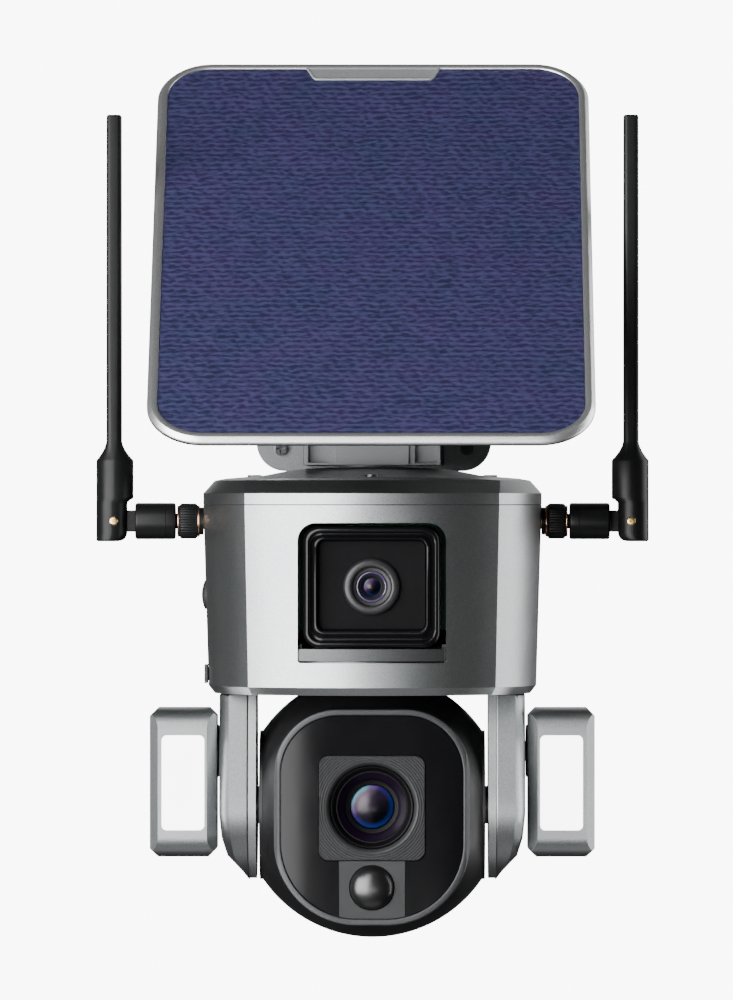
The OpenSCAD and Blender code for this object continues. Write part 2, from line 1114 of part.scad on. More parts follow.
module lamp_shape(d) {
  x0 = -lamp_in - lamp_w + d;
  x1 = -lamp_in - d;
  z0 = lamp_z - lamp_h / 2 + d;
  z1 = lamp_z + lamp_h / 2 - d;
  yf = -lamp_front + d;
  yb = lamp_deep - lamp_front - d;
  intersection() {
    slab(40, 80)
      polygon([[x0 + 3.4, z0], [x1 - 3.4, z0], [x1, z0 + 3.4], [x1, z1 - 3], [x1 - 3, z1],
               [x0 + 3, z1], [x0, z1 - 3], [x0, z0 + 3.4]]);
    translate([0, 0, z0 - 1])
      linear_extrude(z1 - z0 + 2)
        polygon([[x0 + 4, yf], [x1 - 4, yf], [x1, yf + 5], [x1, yb], [x0 + 1, yb],
                 [x0, yb - 1], [x0, yf + 5]]);
    side_slab(-100, 60)
      polygon([[yf, z0 + 8], [yf, z1 - 8], [yf + 1.6, z1 - 3.5], [yf + 5, z1 - 1],
               [yf + 9, z1], [yb - 3, z1], [yb, z1 - 4], [yb, z0 + 4], [yb - 3, z0],
               [yf + 9, z0], [yf + 5, z0 + 1], [yf + 1.6, z0 + 3.5]]);
  }
}

module lamp_window2d(d) {
  translate([-73.35, lamp_z])
    round_rect(16.6 - 2 * d, 36.8 - 2 * d, 2 - d);
}

module lamp_body() {
  difference() {
    union() {
      difference() {
        lamp_shape(0);
        lamp_shape(2);
      }
      rod_x(0, z_pivot, -lamp_in - 1, 1.7, boss_r);
      rod_x(0, z_pivot, -lamp_in - 0.5, 5.5, pivot_r);
    }
    slab(-lamp_front + 6, 12)
      lamp_window2d(0);
  }
}

module lamp_lens() {
  difference() {
    slab(-lamp_front + 6, 6.3)
      lamp_window2d(0.1);
    slab(-lamp_front + 7, 5)
      lamp_window2d(1.6);
  }
}

module lamp_body_left() {
  color([0.45, 0.46, 0.47])
    at_drum()
      lamp_body();
}

module lamp_lens_left() {
  color([0.95, 0.95, 0.93])
    at_drum()
      lamp_lens();
}

module lamp_body_right() {
  color([0.45, 0.46, 0.47])
    at_drum()
      mirror([1, 0, 0])
        lamp_body();
}

module lamp_lens_right() {
  color([0.95, 0.95, 0.93])
    at_drum()
      mirror([1, 0, 0])
        lamp_lens();
}

module antenna_base() {
  difference() {
    union() {
      rod_x(0, z_sma, -92.5, 15.8, 7.15);
      rod_x(0, z_sma, -78, 2.7, 3.1);
      side_slab(-pin_x, 9)
        translate([0, z_sma])
          square([5, 8.4], center = true);
      rod_y(-pin_x, z_sma, 2.5, 5, 4.2);
    }
    rod_y(-pin_x, z_sma, 10, 20, 2 + run);
  }
}

module antenna_blade() {
  top = z_sma + antenna_h;
  difference() {
    union() {
      slab(7.2, 14.4)
        polygon([[-pin_x - 7, z_sma - 7.3], [-pin_x - 6.4, z_sma - 7.9],
                 [-pin_x + 1.5, z_sma - 7.9], [-pin_x + 1.5, z_sma - 4],
                 [-pin_x + 5.3, z_sma - 4], [-pin_x + 5.3, z_sma + 7.2],
                 [-pin_x + 7.5, z_sma + 9], [-pin_x + 7.5, z_sma + 23.8],
                 [-pin_x + 2.9, z_sma + 31], [-pin_x - 3, z_sma + 31],
                 [-pin_x - 7, z_sma + 23.8]]);
      rod_y(-pin_x + 1.5, z_sma - 4.1, 7.2, 14.4, 3.8);
      slab(6, 12)
        translate([-pin_x - 3, z_sma + 30])
          square([5.9, top - z_sma - 31]);
      slab(5, 10)
        translate([-pin_x - 2.4, top - 1.1])
          square([4.7, 1.1]);
    }
    translate([-pin_x - 5.6, -2.9, z_sma - 9])
      cube([20, 5.8, 17.6]);
  }
  rod_y(-pin_x, z_sma, 7.5, 15, 2);
}

module antenna_base_left() {
  color([0.08, 0.08, 0.08])
    at_drum()
      antenna_base();
}

module antenna_base_right() {
  color([0.08, 0.08, 0.08])
    at_drum()
      mirror([1, 0, 0])
        antenna_base();
}

module antenna_blade_left() {
  color([0.05, 0.05, 0.05])
    at_drum()
      antenna_blade();
}

module antenna_blade_right() {
  color([0.05, 0.05, 0.05])
    at_drum()
      mirror([1, 0, 0])
        antenna_blade();
}

wall_plate();
bracket();
plate_screws();
drum_cap();
cap_gasket();
drum_shell();
drum_floor();
cap_screws();
battery_cells();
battery_tray();
main_board();
speaker();
pan_motor();
window_sill();
lens_housing();
lens_panel();
fixed_lens_barrel();
fixed_lens();
fixed_sensor();
sma_jacks();
antenna_nuts();
power_button();
port_cover();
solar_frame();
solar_laminate();
solar_tab();
solar_back();
solar_hinge();
solar_screws();
hinge_bolt();
pan_pinion();
yoke_disc();
pan_gear();
yoke_arm_left();
yoke_arm_right();
arm_liner_left();
arm_liner_right();
arm_screws();
tilt_gear();
tilt_pinion();
head_front();
head_rear();
face_ring();
face_glass();
lens_bezel();
zoom_barrel();
zoom_lens();
pir_panel();
pir_dome();
head_board();
tilt_motor();
lamp_body_left();
lamp_lens_left();
lamp_body_right();
lamp_lens_right();
antenna_base_left();
antenna_blade_left();
antenna_base_right();
antenna_blade_right();
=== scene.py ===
import json
import math

import bmesh
import bpy
from mathutils import Matrix, Vector

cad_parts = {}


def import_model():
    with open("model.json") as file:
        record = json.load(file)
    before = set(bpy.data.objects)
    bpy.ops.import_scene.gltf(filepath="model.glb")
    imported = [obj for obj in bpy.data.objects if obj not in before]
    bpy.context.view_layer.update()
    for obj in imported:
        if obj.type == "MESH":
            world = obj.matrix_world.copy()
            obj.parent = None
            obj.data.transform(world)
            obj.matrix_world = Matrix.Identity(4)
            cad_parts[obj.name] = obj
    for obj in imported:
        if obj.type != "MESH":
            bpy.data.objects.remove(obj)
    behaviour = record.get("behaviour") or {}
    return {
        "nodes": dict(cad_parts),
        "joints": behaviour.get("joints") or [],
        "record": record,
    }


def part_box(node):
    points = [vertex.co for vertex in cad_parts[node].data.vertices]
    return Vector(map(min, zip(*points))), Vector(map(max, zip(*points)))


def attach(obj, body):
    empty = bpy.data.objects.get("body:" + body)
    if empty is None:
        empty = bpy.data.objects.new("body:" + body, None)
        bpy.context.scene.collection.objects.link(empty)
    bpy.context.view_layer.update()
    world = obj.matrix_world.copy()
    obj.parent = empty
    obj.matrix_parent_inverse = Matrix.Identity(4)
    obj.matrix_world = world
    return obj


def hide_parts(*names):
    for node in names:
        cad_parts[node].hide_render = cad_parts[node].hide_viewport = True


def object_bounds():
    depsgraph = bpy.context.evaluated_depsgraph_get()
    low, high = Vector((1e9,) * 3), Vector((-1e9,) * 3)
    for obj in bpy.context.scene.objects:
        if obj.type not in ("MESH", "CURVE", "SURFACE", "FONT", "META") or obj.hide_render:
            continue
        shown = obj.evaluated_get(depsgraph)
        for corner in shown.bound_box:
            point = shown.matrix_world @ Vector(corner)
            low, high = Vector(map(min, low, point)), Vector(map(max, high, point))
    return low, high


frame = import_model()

CAD_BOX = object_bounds()
MM = 0.001
NODES = frame["nodes"]
JOINTS = {j["name"]: j for j in frame["joints"]}
SLOTS = {p["node"]: p["material_slot"] for p in frame["record"]["subparts"]}


def middle(node):
    low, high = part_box(node)
    return (low + high) / 2


# Places that everything else is measured from, in metres
DRUM_Y = middle("yoke_disc").y
TILT_Z = Vector(JOINTS["head_tilt"]["pos_m"]).z
SMA_Z = middle("sma_jacks").z
PIVOT_Z = JOINTS["lamp_left_tilt"]["pos_m"][2]
PANEL_HINGE = Vector(JOINTS["panel_tilt"]["pos_m"])
PANEL_LEAN = math.radians(47.5)  # from upright

# Camera: level and far off with a long lens, a little right of the middle and turned back to it
CAMERA_DISTANCE = 3.25
EYE_X = 0.018
EYE_Z = -0.0656
EYE_TURN = 0.00626  # radians
LENS = 300.0
SENSOR = 36.0


# ---------------------------------------------------------------- materials

# Sockets of the mix node that belong to colours
MIX_FACTOR, MIX_A, MIX_B, MIX_RESULT = 0, 6, 7, 2


def shade(colour, k):
    return tuple(min(1.0, c * k) for c in colour)


class Shader:
    """A Principled material and short ways to add texture nodes to it."""

    def __init__(self, name, colour, rough, **inputs):
        self.material = bpy.data.materials.new(name)
        self.material.use_nodes = True
        self.nodes = self.material.node_tree.nodes
        self.links = self.material.node_tree.links
        self.bsdf = self.nodes["Principled BSDF"]
        self.bsdf.inputs["Base Color"].default_value = (*colour, 1.0)
        self.bsdf.inputs["Roughness"].default_value = rough
        for key, value in inputs.items():
            self.bsdf.inputs[key.replace("_", " ")].default_value = value
        self.position = self.nodes.new("ShaderNodeTexCoord").outputs["Object"]

    def link(self, a, b):
        self.links.new(a, b)

    def noise(self, size, detail, stretch=None, rough=0.5):
        """A noise whose blobs are about size metres across."""
        source = self.position
        if stretch:
            mapping = self.nodes.new("ShaderNodeMapping")
            mapping.inputs["Scale"].default_value = stretch
            self.link(source, mapping.inputs["Vector"])
            source = mapping.outputs["Vector"]
        tex = self.nodes.new("ShaderNodeTexNoise")
        tex.inputs["Scale"].default_value = 1.0 / size
        tex.inputs["Detail"].default_value = detail
        tex.inputs["Roughness"].default_value = rough
        self.link(source, tex.inputs["Vector"])
        return tex.outputs["Fac"]

    def ramp(self, fac, stops):
        """Colours between (position, colour) stops."""
        made = self.nodes.new("ShaderNodeValToRGB")
        band = made.color_ramp
        for element, (at, colour) in zip(band.elements, (stops[0], stops[-1])):
            element.position = at
            element.color = (*colour, 1.0)
        for at, colour in stops[1:-1]:
            band.elements.new(at).color = (*colour, 1.0)
        self.link(fac, made.inputs["Fac"])
        return made.outputs["Color"]

    def mottle(self, fac, colour, low, high):
        """The colour times low where fac is small and times high where it is large."""
        return self.ramp(fac, [(0.3, shade(colour, low)), (0.7, shade(colour, high))])

    def spread(self, fac, low, high):
        made = self.nodes.new("ShaderNodeMapRange")
        made.inputs["To Min"].default_value = low
        made.inputs["To Max"].default_value = high
        self.link(fac, made.inputs["Value"])
        return made.outputs["Result"]

    def calc(self, kind, a, b=None):
        """A maths node; a and b are sockets or numbers."""
        made = self.nodes.new("ShaderNodeMath")
        made.operation = kind
        for place, value in enumerate((a, b)):
            if isinstance(value, (int, float)):
                made.inputs[place].default_value = value
            elif value is not None:
                self.link(value, made.inputs[place])
        return made.outputs[0]

    def plus(self, a, b):
        return self.calc("ADD", a, b)

    def minus(self, a, b):
        return self.calc("SUBTRACT", a, b)

    def times(self, a, b):
        return self.calc("MULTIPLY", a, b)

    def mix(self, fac, a, b, blend="MIX"):
        """Two colour sockets mixed; fac is a socket or a number."""
        made = self.nodes.new("ShaderNodeMix")
        made.data_type = "RGBA"
        made.blend_type = blend
        if isinstance(fac, float):
            made.inputs[MIX_FACTOR].default_value = fac
        else:
            self.link(fac, made.inputs[MIX_FACTOR])
        self.link(a, made.inputs[MIX_A])
        self.link(b, made.inputs[MIX_B])
        return made.outputs[MIX_RESULT]

    def bump(self, height, depth, strength=1.0):
        made = self.nodes.new("ShaderNodeBump")
        made.inputs["Strength"].default_value = strength
        made.inputs["Distance"].default_value = depth
        self.link(height, made.inputs["Height"])
        self.link(made.outputs["Normal"], self.bsdf.inputs["Normal"])

    def glow(self, strength):
        self.bsdf.inputs["Emission Color"].default_value = (1.0, 1.0, 1.0, 1.0)
        self.bsdf.inputs["Emission Strength"].default_value = strength

    def colour_from(self, socket):
        self.link(socket, self.bsdf.inputs["Base Color"])

    def rough_from(self, socket):
        self.link(socket, self.bsdf.inputs["Roughness"])


def plastic(name, colour, rough, depth=0.02, shine=0.5):
    """Moulded plastic: fine grain depth mm deep, faint cloudiness of colour and gloss."""
    s = Shader(name, colour, rough, Specular_IOR_Level=shine)
    s.colour_from(s.mottle(s.noise(14 * MM, 4), colour, 0.88, 1.12))
    s.rough_from(s.spread(s.noise(5 * MM, 5), rough - 0.06, rough + 0.08))
    s.bump(s.noise(0.35 * MM, 2), depth * MM)
    return s.material


def flake_paint(name, colour, rough, metallic):
    """Satin paint with fine metal flakes: small bright and dark specks on a grey ground."""
    s = Shader(name, colour, rough, Metallic=metallic)
    specks = [(0.3, shade(colour, 0.74)), (0.5, colour), (0.7, shade(colour, 1.3))]
    flakes = s.ramp(s.noise(0.28 * MM, 1.5, rough=0.7), specks)
    tint = s.ramp(s.noise(22 * MM, 3), [(0.3, (0.93, 0.94, 0.95)), (0.7, (1.0, 1.0, 1.0))])
    s.colour_from(s.mix(1.0, flakes, tint, "MULTIPLY"))
    s.rough_from(s.spread(s.noise(0.6 * MM, 3), rough - 0.05, rough + 0.09))
    s.bump(s.noise(0.45 * MM, 2), 0.012 * MM)
    return s.material


def glossy(name, colour, rough, coat=0.4, shine=0.5):
    """Polished plastic with a faint orange peel and a few smears."""
    s = Shader(name, colour, rough, Coat_Weight=coat, Coat_Roughness=0.03,
               Specular_IOR_Level=shine)
    smear = s.noise(9 * MM, 6, stretch=(1.0, 1.0, 0.4))
    s.rough_from(s.spread(smear, rough * 0.7, rough * 1.6))
    s.bump(s.noise(3.5 * MM, 2), 0.004 * MM)
    return s.material


def metal(name, colour, rough):
    """Turned or drawn metal with fine lines."""
    s = Shader(name, colour, rough, Metallic=1.0)
    lines = s.noise(0.5 * MM, 4, stretch=(1.0, 1.0, 12.0))
    s.colour_from(s.mottle(lines, colour, 0.85, 1.1))
    s.rough_from(s.spread(lines, rough - 0.06, rough + 0.12))
    s.bump(lines, 0.006 * MM)
    return s.material


def rubber(name, colour):
    s = Shader(name, colour, 0.62)
    s.colour_from(s.mottle(s.noise(6 * MM, 5), colour, 0.8, 1.35))
    s.bump(s.noise(0.4 * MM, 3), 0.03 * MM)
    return s.material


def lens_with_painted_reflection(name, centre, radius):
    """Coated lens glass, dark inside, with a painted reflection: lighter towards the upper left,
    black towards the lower right; its rim goes from cyan and purple at the upper left to blue and
    black, a painted reflection too.
    """
    s = Shader(name, (0.01, 0.01, 0.014), 0.28, Specular_IOR_Level=0.22)
    parts = s.nodes.new("ShaderNodeSeparateXYZ")
    s.link(s.position, parts.inputs[0])
    x = s.minus(parts.outputs["X"], centre.x)
    z = s.minus(parts.outputs["Z"], centre.z)
    away = s.calc("SQRT", s.plus(s.times(x, x), s.times(z, z)))
    reach = s.times(away, 1 / radius)
    # Painted reflection: a slope across the glass, high at the upper left where a light would be
    # mirrored, low at the lower right
    painted_light_lean = s.times(s.minus(z, x), 0.5 / radius)
    side = s.plus(s.times(painted_light_lean, 0.7), s.times(s.noise(radius * 0.8, 1), 0.5))
    # The glass and its rim get lighter and more coloured on the high side of the slope: painted
    # reflection, with a little random noise
    body = s.ramp(side, [(0.0, (0.001, 0.001, 0.002)), (0.34, (0.012, 0.008, 0.016)),
                         (0.62, (0.075, 0.05, 0.075)), (0.8, (0.12, 0.1, 0.13))])
    rim = s.ramp(side, [(0.0, (0.004, 0.02, 0.12)), (0.3, (0.02, 0.015, 0.1)),
                        (0.55, (0.1, 0.06, 0.16)), (0.8, (0.12, 0.36, 0.4))])
    edge = s.ramp(reach, [(0.72, (0.0, 0.0, 0.0)), (0.93, (1.0, 1.0, 1.0))])
    s.colour_from(s.mix(edge, body, rim))
    s.bump(s.noise(2 * MM, 1), 0.001 * MM)
    return s.material


def circuit(name):
    """Solder resist with pale tracks."""
    green = (0.02, 0.16, 0.07)
    s = Shader(name, green, 0.35)
    tracks = s.nodes.new("ShaderNodeTexBrick")
    tracks.inputs["Scale"].default_value = 160.0
    tracks.inputs["Color1"].default_value = (*green, 1.0)
    tracks.inputs["Color2"].default_value = (*shade(green, 1.3), 1.0)
    tracks.inputs["Mortar"].default_value = (0.05, 0.28, 0.12, 1.0)
    s.link(s.position, tracks.inputs["Vector"])
    s.colour_from(tracks.outputs["Color"])
    s.bump(tracks.outputs["Fac"], 0.03 * MM)
    return s.material


def cells(name):
    """Textured solar laminate: staggered rows of wavy dashes, purple on navy."""
    row_pitch, dash_pitch = 2.9 * MM, 5.2 * MM
    navy = (0.0235, 0.0225, 0.067)
    s = Shader(name, navy, 0.42, Coat_Weight=0.1, Coat_Roughness=0.3)
    moved = s.nodes.new("ShaderNodeVectorMath")
    moved.operation = "SUBTRACT"
    moved.inputs[1].default_value = PANEL_HINGE
    s.link(s.position, moved.inputs[0])
    turned = s.nodes.new("ShaderNodeMapping")
    turned.inputs["Rotation"].default_value = (PANEL_LEAN - math.pi / 2, 0.0, 0.0)
    s.link(moved.outputs[0], turned.inputs["Vector"])
    s.position = turned.outputs["Vector"]
    flat = s.nodes.new("ShaderNodeSeparateXYZ")
    s.link(s.position, flat.inputs[0])
    across, along = flat.outputs["X"], flat.outputs["Y"]

    wobble = s.times(s.noise(7 * MM, 2, stretch=(1.0, 0.6, 1.0)), 1.1)
    row = s.plus(s.times(along, 1 / row_pitch), wobble)
    stagger = s.plus(s.times(s.calc("FLOOR", row), 0.37), s.times(wobble, 1.6))
    place = s.plus(s.times(across, 1 / dash_pitch), stagger)
    rows = s.calc("COSINE", s.times(row, 2 * math.pi))
    dashes = s.calc("COSINE", s.times(place, 2 * math.pi))
    waves = s.plus(s.times(rows, 0.27), s.times(dashes, 0.15))
    grain = s.times(s.minus(s.noise(0.9 * MM, 2, stretch=(0.35, 1.0, 1.0)), 0.5), 2.1)
    relief = s.plus(s.plus(waves, grain), 0.5)
    ground = s.ramp(relief, [(0.15, (0.007, 0.005, 0.024)), (0.5, navy),
                             (0.9, (0.04, 0.044, 0.105))])
    hue = s.ramp(s.noise(16 * MM, 2), [(0.35, (0.036, 0.02, 0.08)), (0.65, (0.016, 0.024, 0.062))])
    s.colour_from(s.mix(0.3, ground, hue))
    s.bump(relief, 0.08 * MM, 0.7)
    return s.material


def diffuser(name):
    """Frosted white lens of a floodlight."""
    s = Shader(name, (0.93, 0.94, 0.95), 0.45, Subsurface_Weight=0.15)
    s.glow(5.0)
    s.bump(s.noise(0.7 * MM, 2), 0.02 * MM)
    return s.material


GREY = (0.25, 0.26, 0.262)

# Colour, roughness, share of metal
PAINTS = {
    "mount_grey": ((0.17, 0.174, 0.178), 0.5, 0.2),
    "drum_grey": (shade(GREY, 1.22), 0.35, 1.0),
    "panel_frame": ((0.82, 0.825, 0.835), 0.36, 0.97),
    "tab_grey": ((0.27, 0.274, 0.278), 0.42, 0.4),
    "yoke_grey": (shade(GREY, 1.1), 0.38, 1.0),
    "liner_grey": (shade(GREY, 1.5), 0.4, 0.9),
    "ring_grey": ((0.058, 0.059, 0.061), 0.5, 0.9),
    "lamp_grey": (shade(GREY, 1.2), 0.38, 1.0),
    # The shared grey darkened for the window's sill: painted shade of the recess under the camera
    # block
    "sill_grey": (shade(GREY, 0.28), 0.45, 0.9),
}
# Colour, roughness
METALS = {
    "screw_steel": ((0.5, 0.5, 0.52), 0.3),
    "screw_dark": ((0.09, 0.09, 0.095), 0.35),
    "motor_steel": ((0.6, 0.6, 0.6), 0.28),
    "gold_brass": ((0.72, 0.47, 0.2), 0.28),
    "gear_brass": ((0.7, 0.5, 0.22), 0.3),
    "copper_ring": ((0.8, 0.45, 0.28), 0.2),
}
# Colour, roughness, coat, specular level
GLOSSES = {
    "battery_wrap": ((0.03, 0.12, 0.32), 0.2),
    "gloss_black": ((0.003, 0.003, 0.0035), 0.2, 0.0, 0.22),
    "ball_black": ((0.005, 0.005, 0.0055), 0.36, 0.0),
    "face_gloss": ((0.003, 0.003, 0.0035), 0.15, 0.0, 0.16),
    "dome_black": ((0.003, 0.003, 0.003), 0.27, 0.0, 0.9),
    "lens_ring": ((0.05, 0.03, 0.12), 0.2),
    # Dark purple for the zoom lens's cone: painted reflection, the sheen of a lens coating
    "lens_tint": ((0.004, 0.0013, 0.006), 0.3, 0.0, 0.12),
}
# Colour, roughness, depth of grain in mm, specular level
PLASTICS = {
    "inner_plastic": ((0.03, 0.03, 0.032), 0.5),
    "black_plastic": ((0.012, 0.012, 0.013), 0.34, 0.01),
    "gear_nylon": ((0.75, 0.74, 0.68), 0.4),
    "bezel_grey": ((0.022, 0.0225, 0.0235), 0.5, 0.02, 0.3),
    "antenna_black": ((0.005, 0.0052, 0.0055), 0.37, 0.006, 0.18),
    "lens_panel_black": ((0.004, 0.004, 0.0045), 0.42, 0.01, 0.05),
    "lens_rim": ((0.014, 0.014, 0.015), 0.36, 0.003, 0.35),
    "lens_inner": ((0.002, 0.002, 0.0025), 0.5, 0.003, 0.12),
}
FIXED_GLASS_R = 3.4
ZOOM_GLASS_R = 8.4


def make_materials():
    made = {
        "seal_rubber": rubber("seal_rubber", (0.012, 0.012, 0.013)),
        "circuit_board": circuit("circuit_board"),
        # Both lens glasses carry a painted reflection in their colour
        "lens_glass": lens_with_painted_reflection("lens_glass", middle("fixed_lens"), FIXED_GLASS_R * MM),
        "zoom_glass": lens_with_painted_reflection("zoom_glass", middle("zoom_lens"), ZOOM_GLASS_R * MM),
        "solar_cells": cells("solar_cells"),
        "diffuser_white": diffuser("diffuser_white"),
    }
    for kind, table in ((flake_paint, PAINTS), (metal, METALS), (glossy, GLOSSES),
                        (plastic, PLASTICS)):
        for name, row in table.items():
            made[name] = kind(name, *row)
    return made


MATERIALS = make_materials()

# Radius in mm of a CAD node's rounded edges, where it isn't USUAL_EDGE
EDGES = {
    "drum_shell": 0.15,
    "drum_cap": 0.2,
    "head_front": 0.05,
    "head_rear": 0.05,
    "wall_plate": 0.12,
    "bracket": 0.2,
    "pan_gear": 0.05,
    "tilt_gear": 0.05,
    "pan_pinion": 0.05,
    "tilt_pinion": 0.05,
}
USUAL_EDGE = 0.25
# Edges that turn by less than this many degrees aren't rounded
USUAL_CREASE = 32
FINE_CREASE = 13
CREASED = ("drum_shell", "drum_cap")
# Nodes whose finish isn't that of their slot; the sill's is the drum grey darkened as painted
# shade
FINISH = {"window_sill": "sill_grey", "plate_screws": "screw_dark", "cap_screws": "screw_dark"}


def even_shading(obj, weight, keep_sharp):
    """Lets the large faces decide the shading, so flat faces look flat."""
    weighted = obj.modifiers.new("even_shading", "WEIGHTED_NORMAL")
    weighted.weight = weight
    weighted.keep_sharp = keep_sharp


def soften(obj, width, angle):
    """Rounds the edges of a CAD node sharper than angle and shades the rest smooth."""
    weld = obj.modifiers.new("join_corners", "WELD")
    weld.merge_threshold = 0.002 * MM
    bevel = obj.modifiers.new("round_edges", "BEVEL")
    bevel.width = width
    bevel.segments = 2
    bevel.limit_method = "ANGLE"
    bevel.angle_limit = math.radians(angle)
    bevel.use_clamp_overlap = True
    even_shading(obj, 80, False)


def dress_cad():
    """Gives every CAD node its material and rounds its sharp edges."""
    for name, obj in NODES.items():
        obj.data.materials.clear()
        obj.data.materials.append(MATERIALS[FINISH.get(name, SLOTS[name])])
        crease = FINE_CREASE if name in CREASED else USUAL_CREASE
        soften(obj, EDGES.get(name, USUAL_EDGE) * MM, crease)


# ---------------------------------------------------------------- drawing and mesh tools

POLAR_REACH = 80.0  # farther out than any outline
POLAR_HALVINGS = 30
SHARPEST_INSET = 0.4  # keeps an inset corner from shooting away
WELD = 0.0008  # points closer than this, in mm, become one
AXIS_R = 1e-4  # stands for a point on the axis


def front_at(y, z):
    """Drawing x and y become x and z; the third number goes forward from y."""
    return Matrix(((1, 0, 0, 0), (0, 0, -1, y), (0, 1, 0, z), (0, 0, 0, 1)))


def side_at(sx, y, z):
    """Drawing x and y become y and z; the third number goes out to the side sx."""
    return Matrix(((0, 0, sx, 0), (sx, 0, 0, y), (0, 1, 0, z), (0, 0, 0, 1)))


def quarter(cx, cy, r, turn, n):
    """Quarter circle of points round (cx, cy) that starts turn right angles past +x."""
    angles = [math.pi / 2 * (turn + i / n) for i in range(n + 1)]
    return [(cx + r * math.cos(a), cy + r * math.sin(a)) for a in angles]


def round_rect(x0, x1, y0, y1, r, n):
    """Corner rounded rectangle as a counter-clockwise list of points."""
    return (quarter(x1 - r, y1 - r, r, 0, n) + quarter(x0 + r, y1 - r, r, 1, n)
            + quarter(x0 + r, y0 + r, r, 2, n) + quarter(x1 - r, y0 + r, r, 3, n))


def circle(r, n):
    angles = [2 * math.pi * i / n for i in range(n)]
    return [(r * math.cos(a), r * math.sin(a)) for a in angles]


def arc(cx, cy, r, a0, a1, n):
    """Points (x, y) on an arc, angles in degrees."""
    angles = [math.radians(a0 + (a1 - a0) * i / n) for i in range(n + 1)]
    return [(cx + r * math.cos(a), cy + r * math.sin(a)) for a in angles]


def cap(r, base, rise, half, n):
    """Profile of a round cap, from its rim to its top, cut from a ball at half degrees."""
    half = math.radians(half)
    angles = [half * k / n for k in range(n, -1, -1)]
    lift = rise / (1 - math.cos(half))
    return [(r * math.sin(a) / math.sin(half), base + lift * (math.cos(a) - math.cos(half)))
            for a in angles]


def polar(inside, n, centre=(0.0, 0.0)):
    """Outline of the area that inside(x, y) is true in, seen from centre."""
    points = []
    for i in range(n):
        a = 2 * math.pi * i / n
        low, high = 0.0, POLAR_REACH
        for _ in range(POLAR_HALVINGS):
            mid = (low + high) / 2
            if inside(centre[0] + mid * math.cos(a), centre[1] + mid * math.sin(a)):
                low = mid
            else:
                high = mid
        points.append((centre[0] + low * math.cos(a), centre[1] + low * math.sin(a)))
    return points


def rounded(corners):
    """Polygon with rounded corners from (x, y, radius), counter-clockwise."""
    n = 6
    points = []
    for i, (x, y, r) in enumerate(corners):
        here = Vector((x, y))
        before = (Vector(corners[i - 1][:2]) - here).normalized()
        after = (Vector(corners[(i + 1) % len(corners)][:2]) - here).normalized()
        half = before.angle(after) / 2
        start = here + before * r / math.tan(half)
        end = here + after * r / math.tan(half)
        for k in range(n + 1):
            t = k / n
            points.append(tuple(start * (1 - t) ** 2 + here * 2 * t * (1 - t) + end * t * t))
    return points


def inward(a, b):
    """Unit normal of the side from a to b, or None where the side has no length."""
    if (b - a).length > 1e-6:
        return Vector((a.y - b.y, b.x - a.x)).normalized()
    return None


def inset(outline, d):
    """The outline moved inwards by d."""
    corners = [Vector(p) for p in outline]
    moved = []
    for i, here in enumerate(corners):
        n1 = inward(corners[i - 1], here)
        n2 = inward(here, corners[(i + 1) % len(corners)])
        n1 = n1 or n2
        n2 = n2 or n1
        n = (n1 + n2).normalized()
        moved.append(tuple(here + n * d / max(SHARPEST_INSET, n.dot(n1))))
    return moved


def add_object(name, data):
    obj = bpy.data.objects.new(name, data)
    bpy.context.scene.collection.objects.link(obj)
    return obj


def smooth(mesh, sharp):
    """Smooth shading, with edges sharper than sharp degrees kept."""
    mesh.shade_smooth()
    mesh.set_sharp_from_angle(angle=math.radians(sharp))


class Maker:
    """Collects lofted surfaces, in millimetres, and makes one mesh piece from them."""

    def __init__(self, name, place):
        self.name = name
        self.place = place
        self.bm = bmesh.new()
        self.slots = []

    def loft(self, rings, slot, caps=False, closed=False, place=None):
        """Joins rings of points (x, y, z) with quads. Rings have equal counts."""
        if slot not in self.slots:
            self.slots.append(slot)
        index = self.slots.index(slot)
        place = place or Matrix.Identity(4)
        made = [[self.bm.verts.new(place @ Vector(p)) for p in ring] for ring in rings]
        pairs = list(zip(made, made[1:]))
        if closed:
            pairs.append((made[-1], made[0]))
        for a, b in pairs:
            for i in range(len(a)):
                j = (i + 1) % len(a)
                self.bm.faces.new((a[i], a[j], b[j], b[i])).material_index = index
        if caps:
            self.bm.faces.new(list(reversed(made[0]))).material_index = index
            self.bm.faces.new(made[-1]).material_index = index

    def stack(self, outline, steps, slot):
        """Solid with one outline and (inset, height) steps from bottom to top."""
        rings = [[(x, y, h) for x, y in (inset(outline, d) if d else outline)] for d, h in steps]
        self.loft(rings, slot, caps=True)

    def lathe(self, profile, slot, n=96, closed=False, place=None, wave=None):
        """Turns (radius, height) points round the local z axis; wave may reshape each ring."""
        rings = [[(x, y, h) for x, y in circle(max(r, AXIS_R), n)] for r, h in profile]
        if wave:
            rings = [wave(ring) for ring in rings]
        self.loft(rings, slot, closed=closed, place=place)

    def build(self):
        """An object of the mesh so far, in its place and in metres."""
        mesh = bpy.data.meshes.new(self.name)
        self.bm.to_mesh(mesh)
        self.bm.free()
        mesh.transform(Matrix.Scale(MM, 4))
        mesh.transform(self.place)
        for slot in self.slots:
            mesh.materials.append(MATERIALS[slot])
        return add_object(self.name, mesh)

    def finish(self, body, nodes, slot, sharp):
        """The finished piece: rides on body, stands for the CAD nodes, if any."""
        bmesh.ops.remove_doubles(self.bm, verts=self.bm.verts, dist=WELD)
        bmesh.ops.dissolve_degenerate(self.bm, edges=self.bm.edges, dist=WELD / 2)
        bmesh.ops.recalc_face_normals(self.bm, faces=self.bm.faces)
        ngons = [f for f in self.bm.faces if len(f.verts) > 4]
        bmesh.ops.triangulate(self.bm, faces=ngons)
        obj = self.build()
        smooth(obj.data, sharp)
        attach(obj, body)
        if nodes:
            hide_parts(*nodes)
        return obj


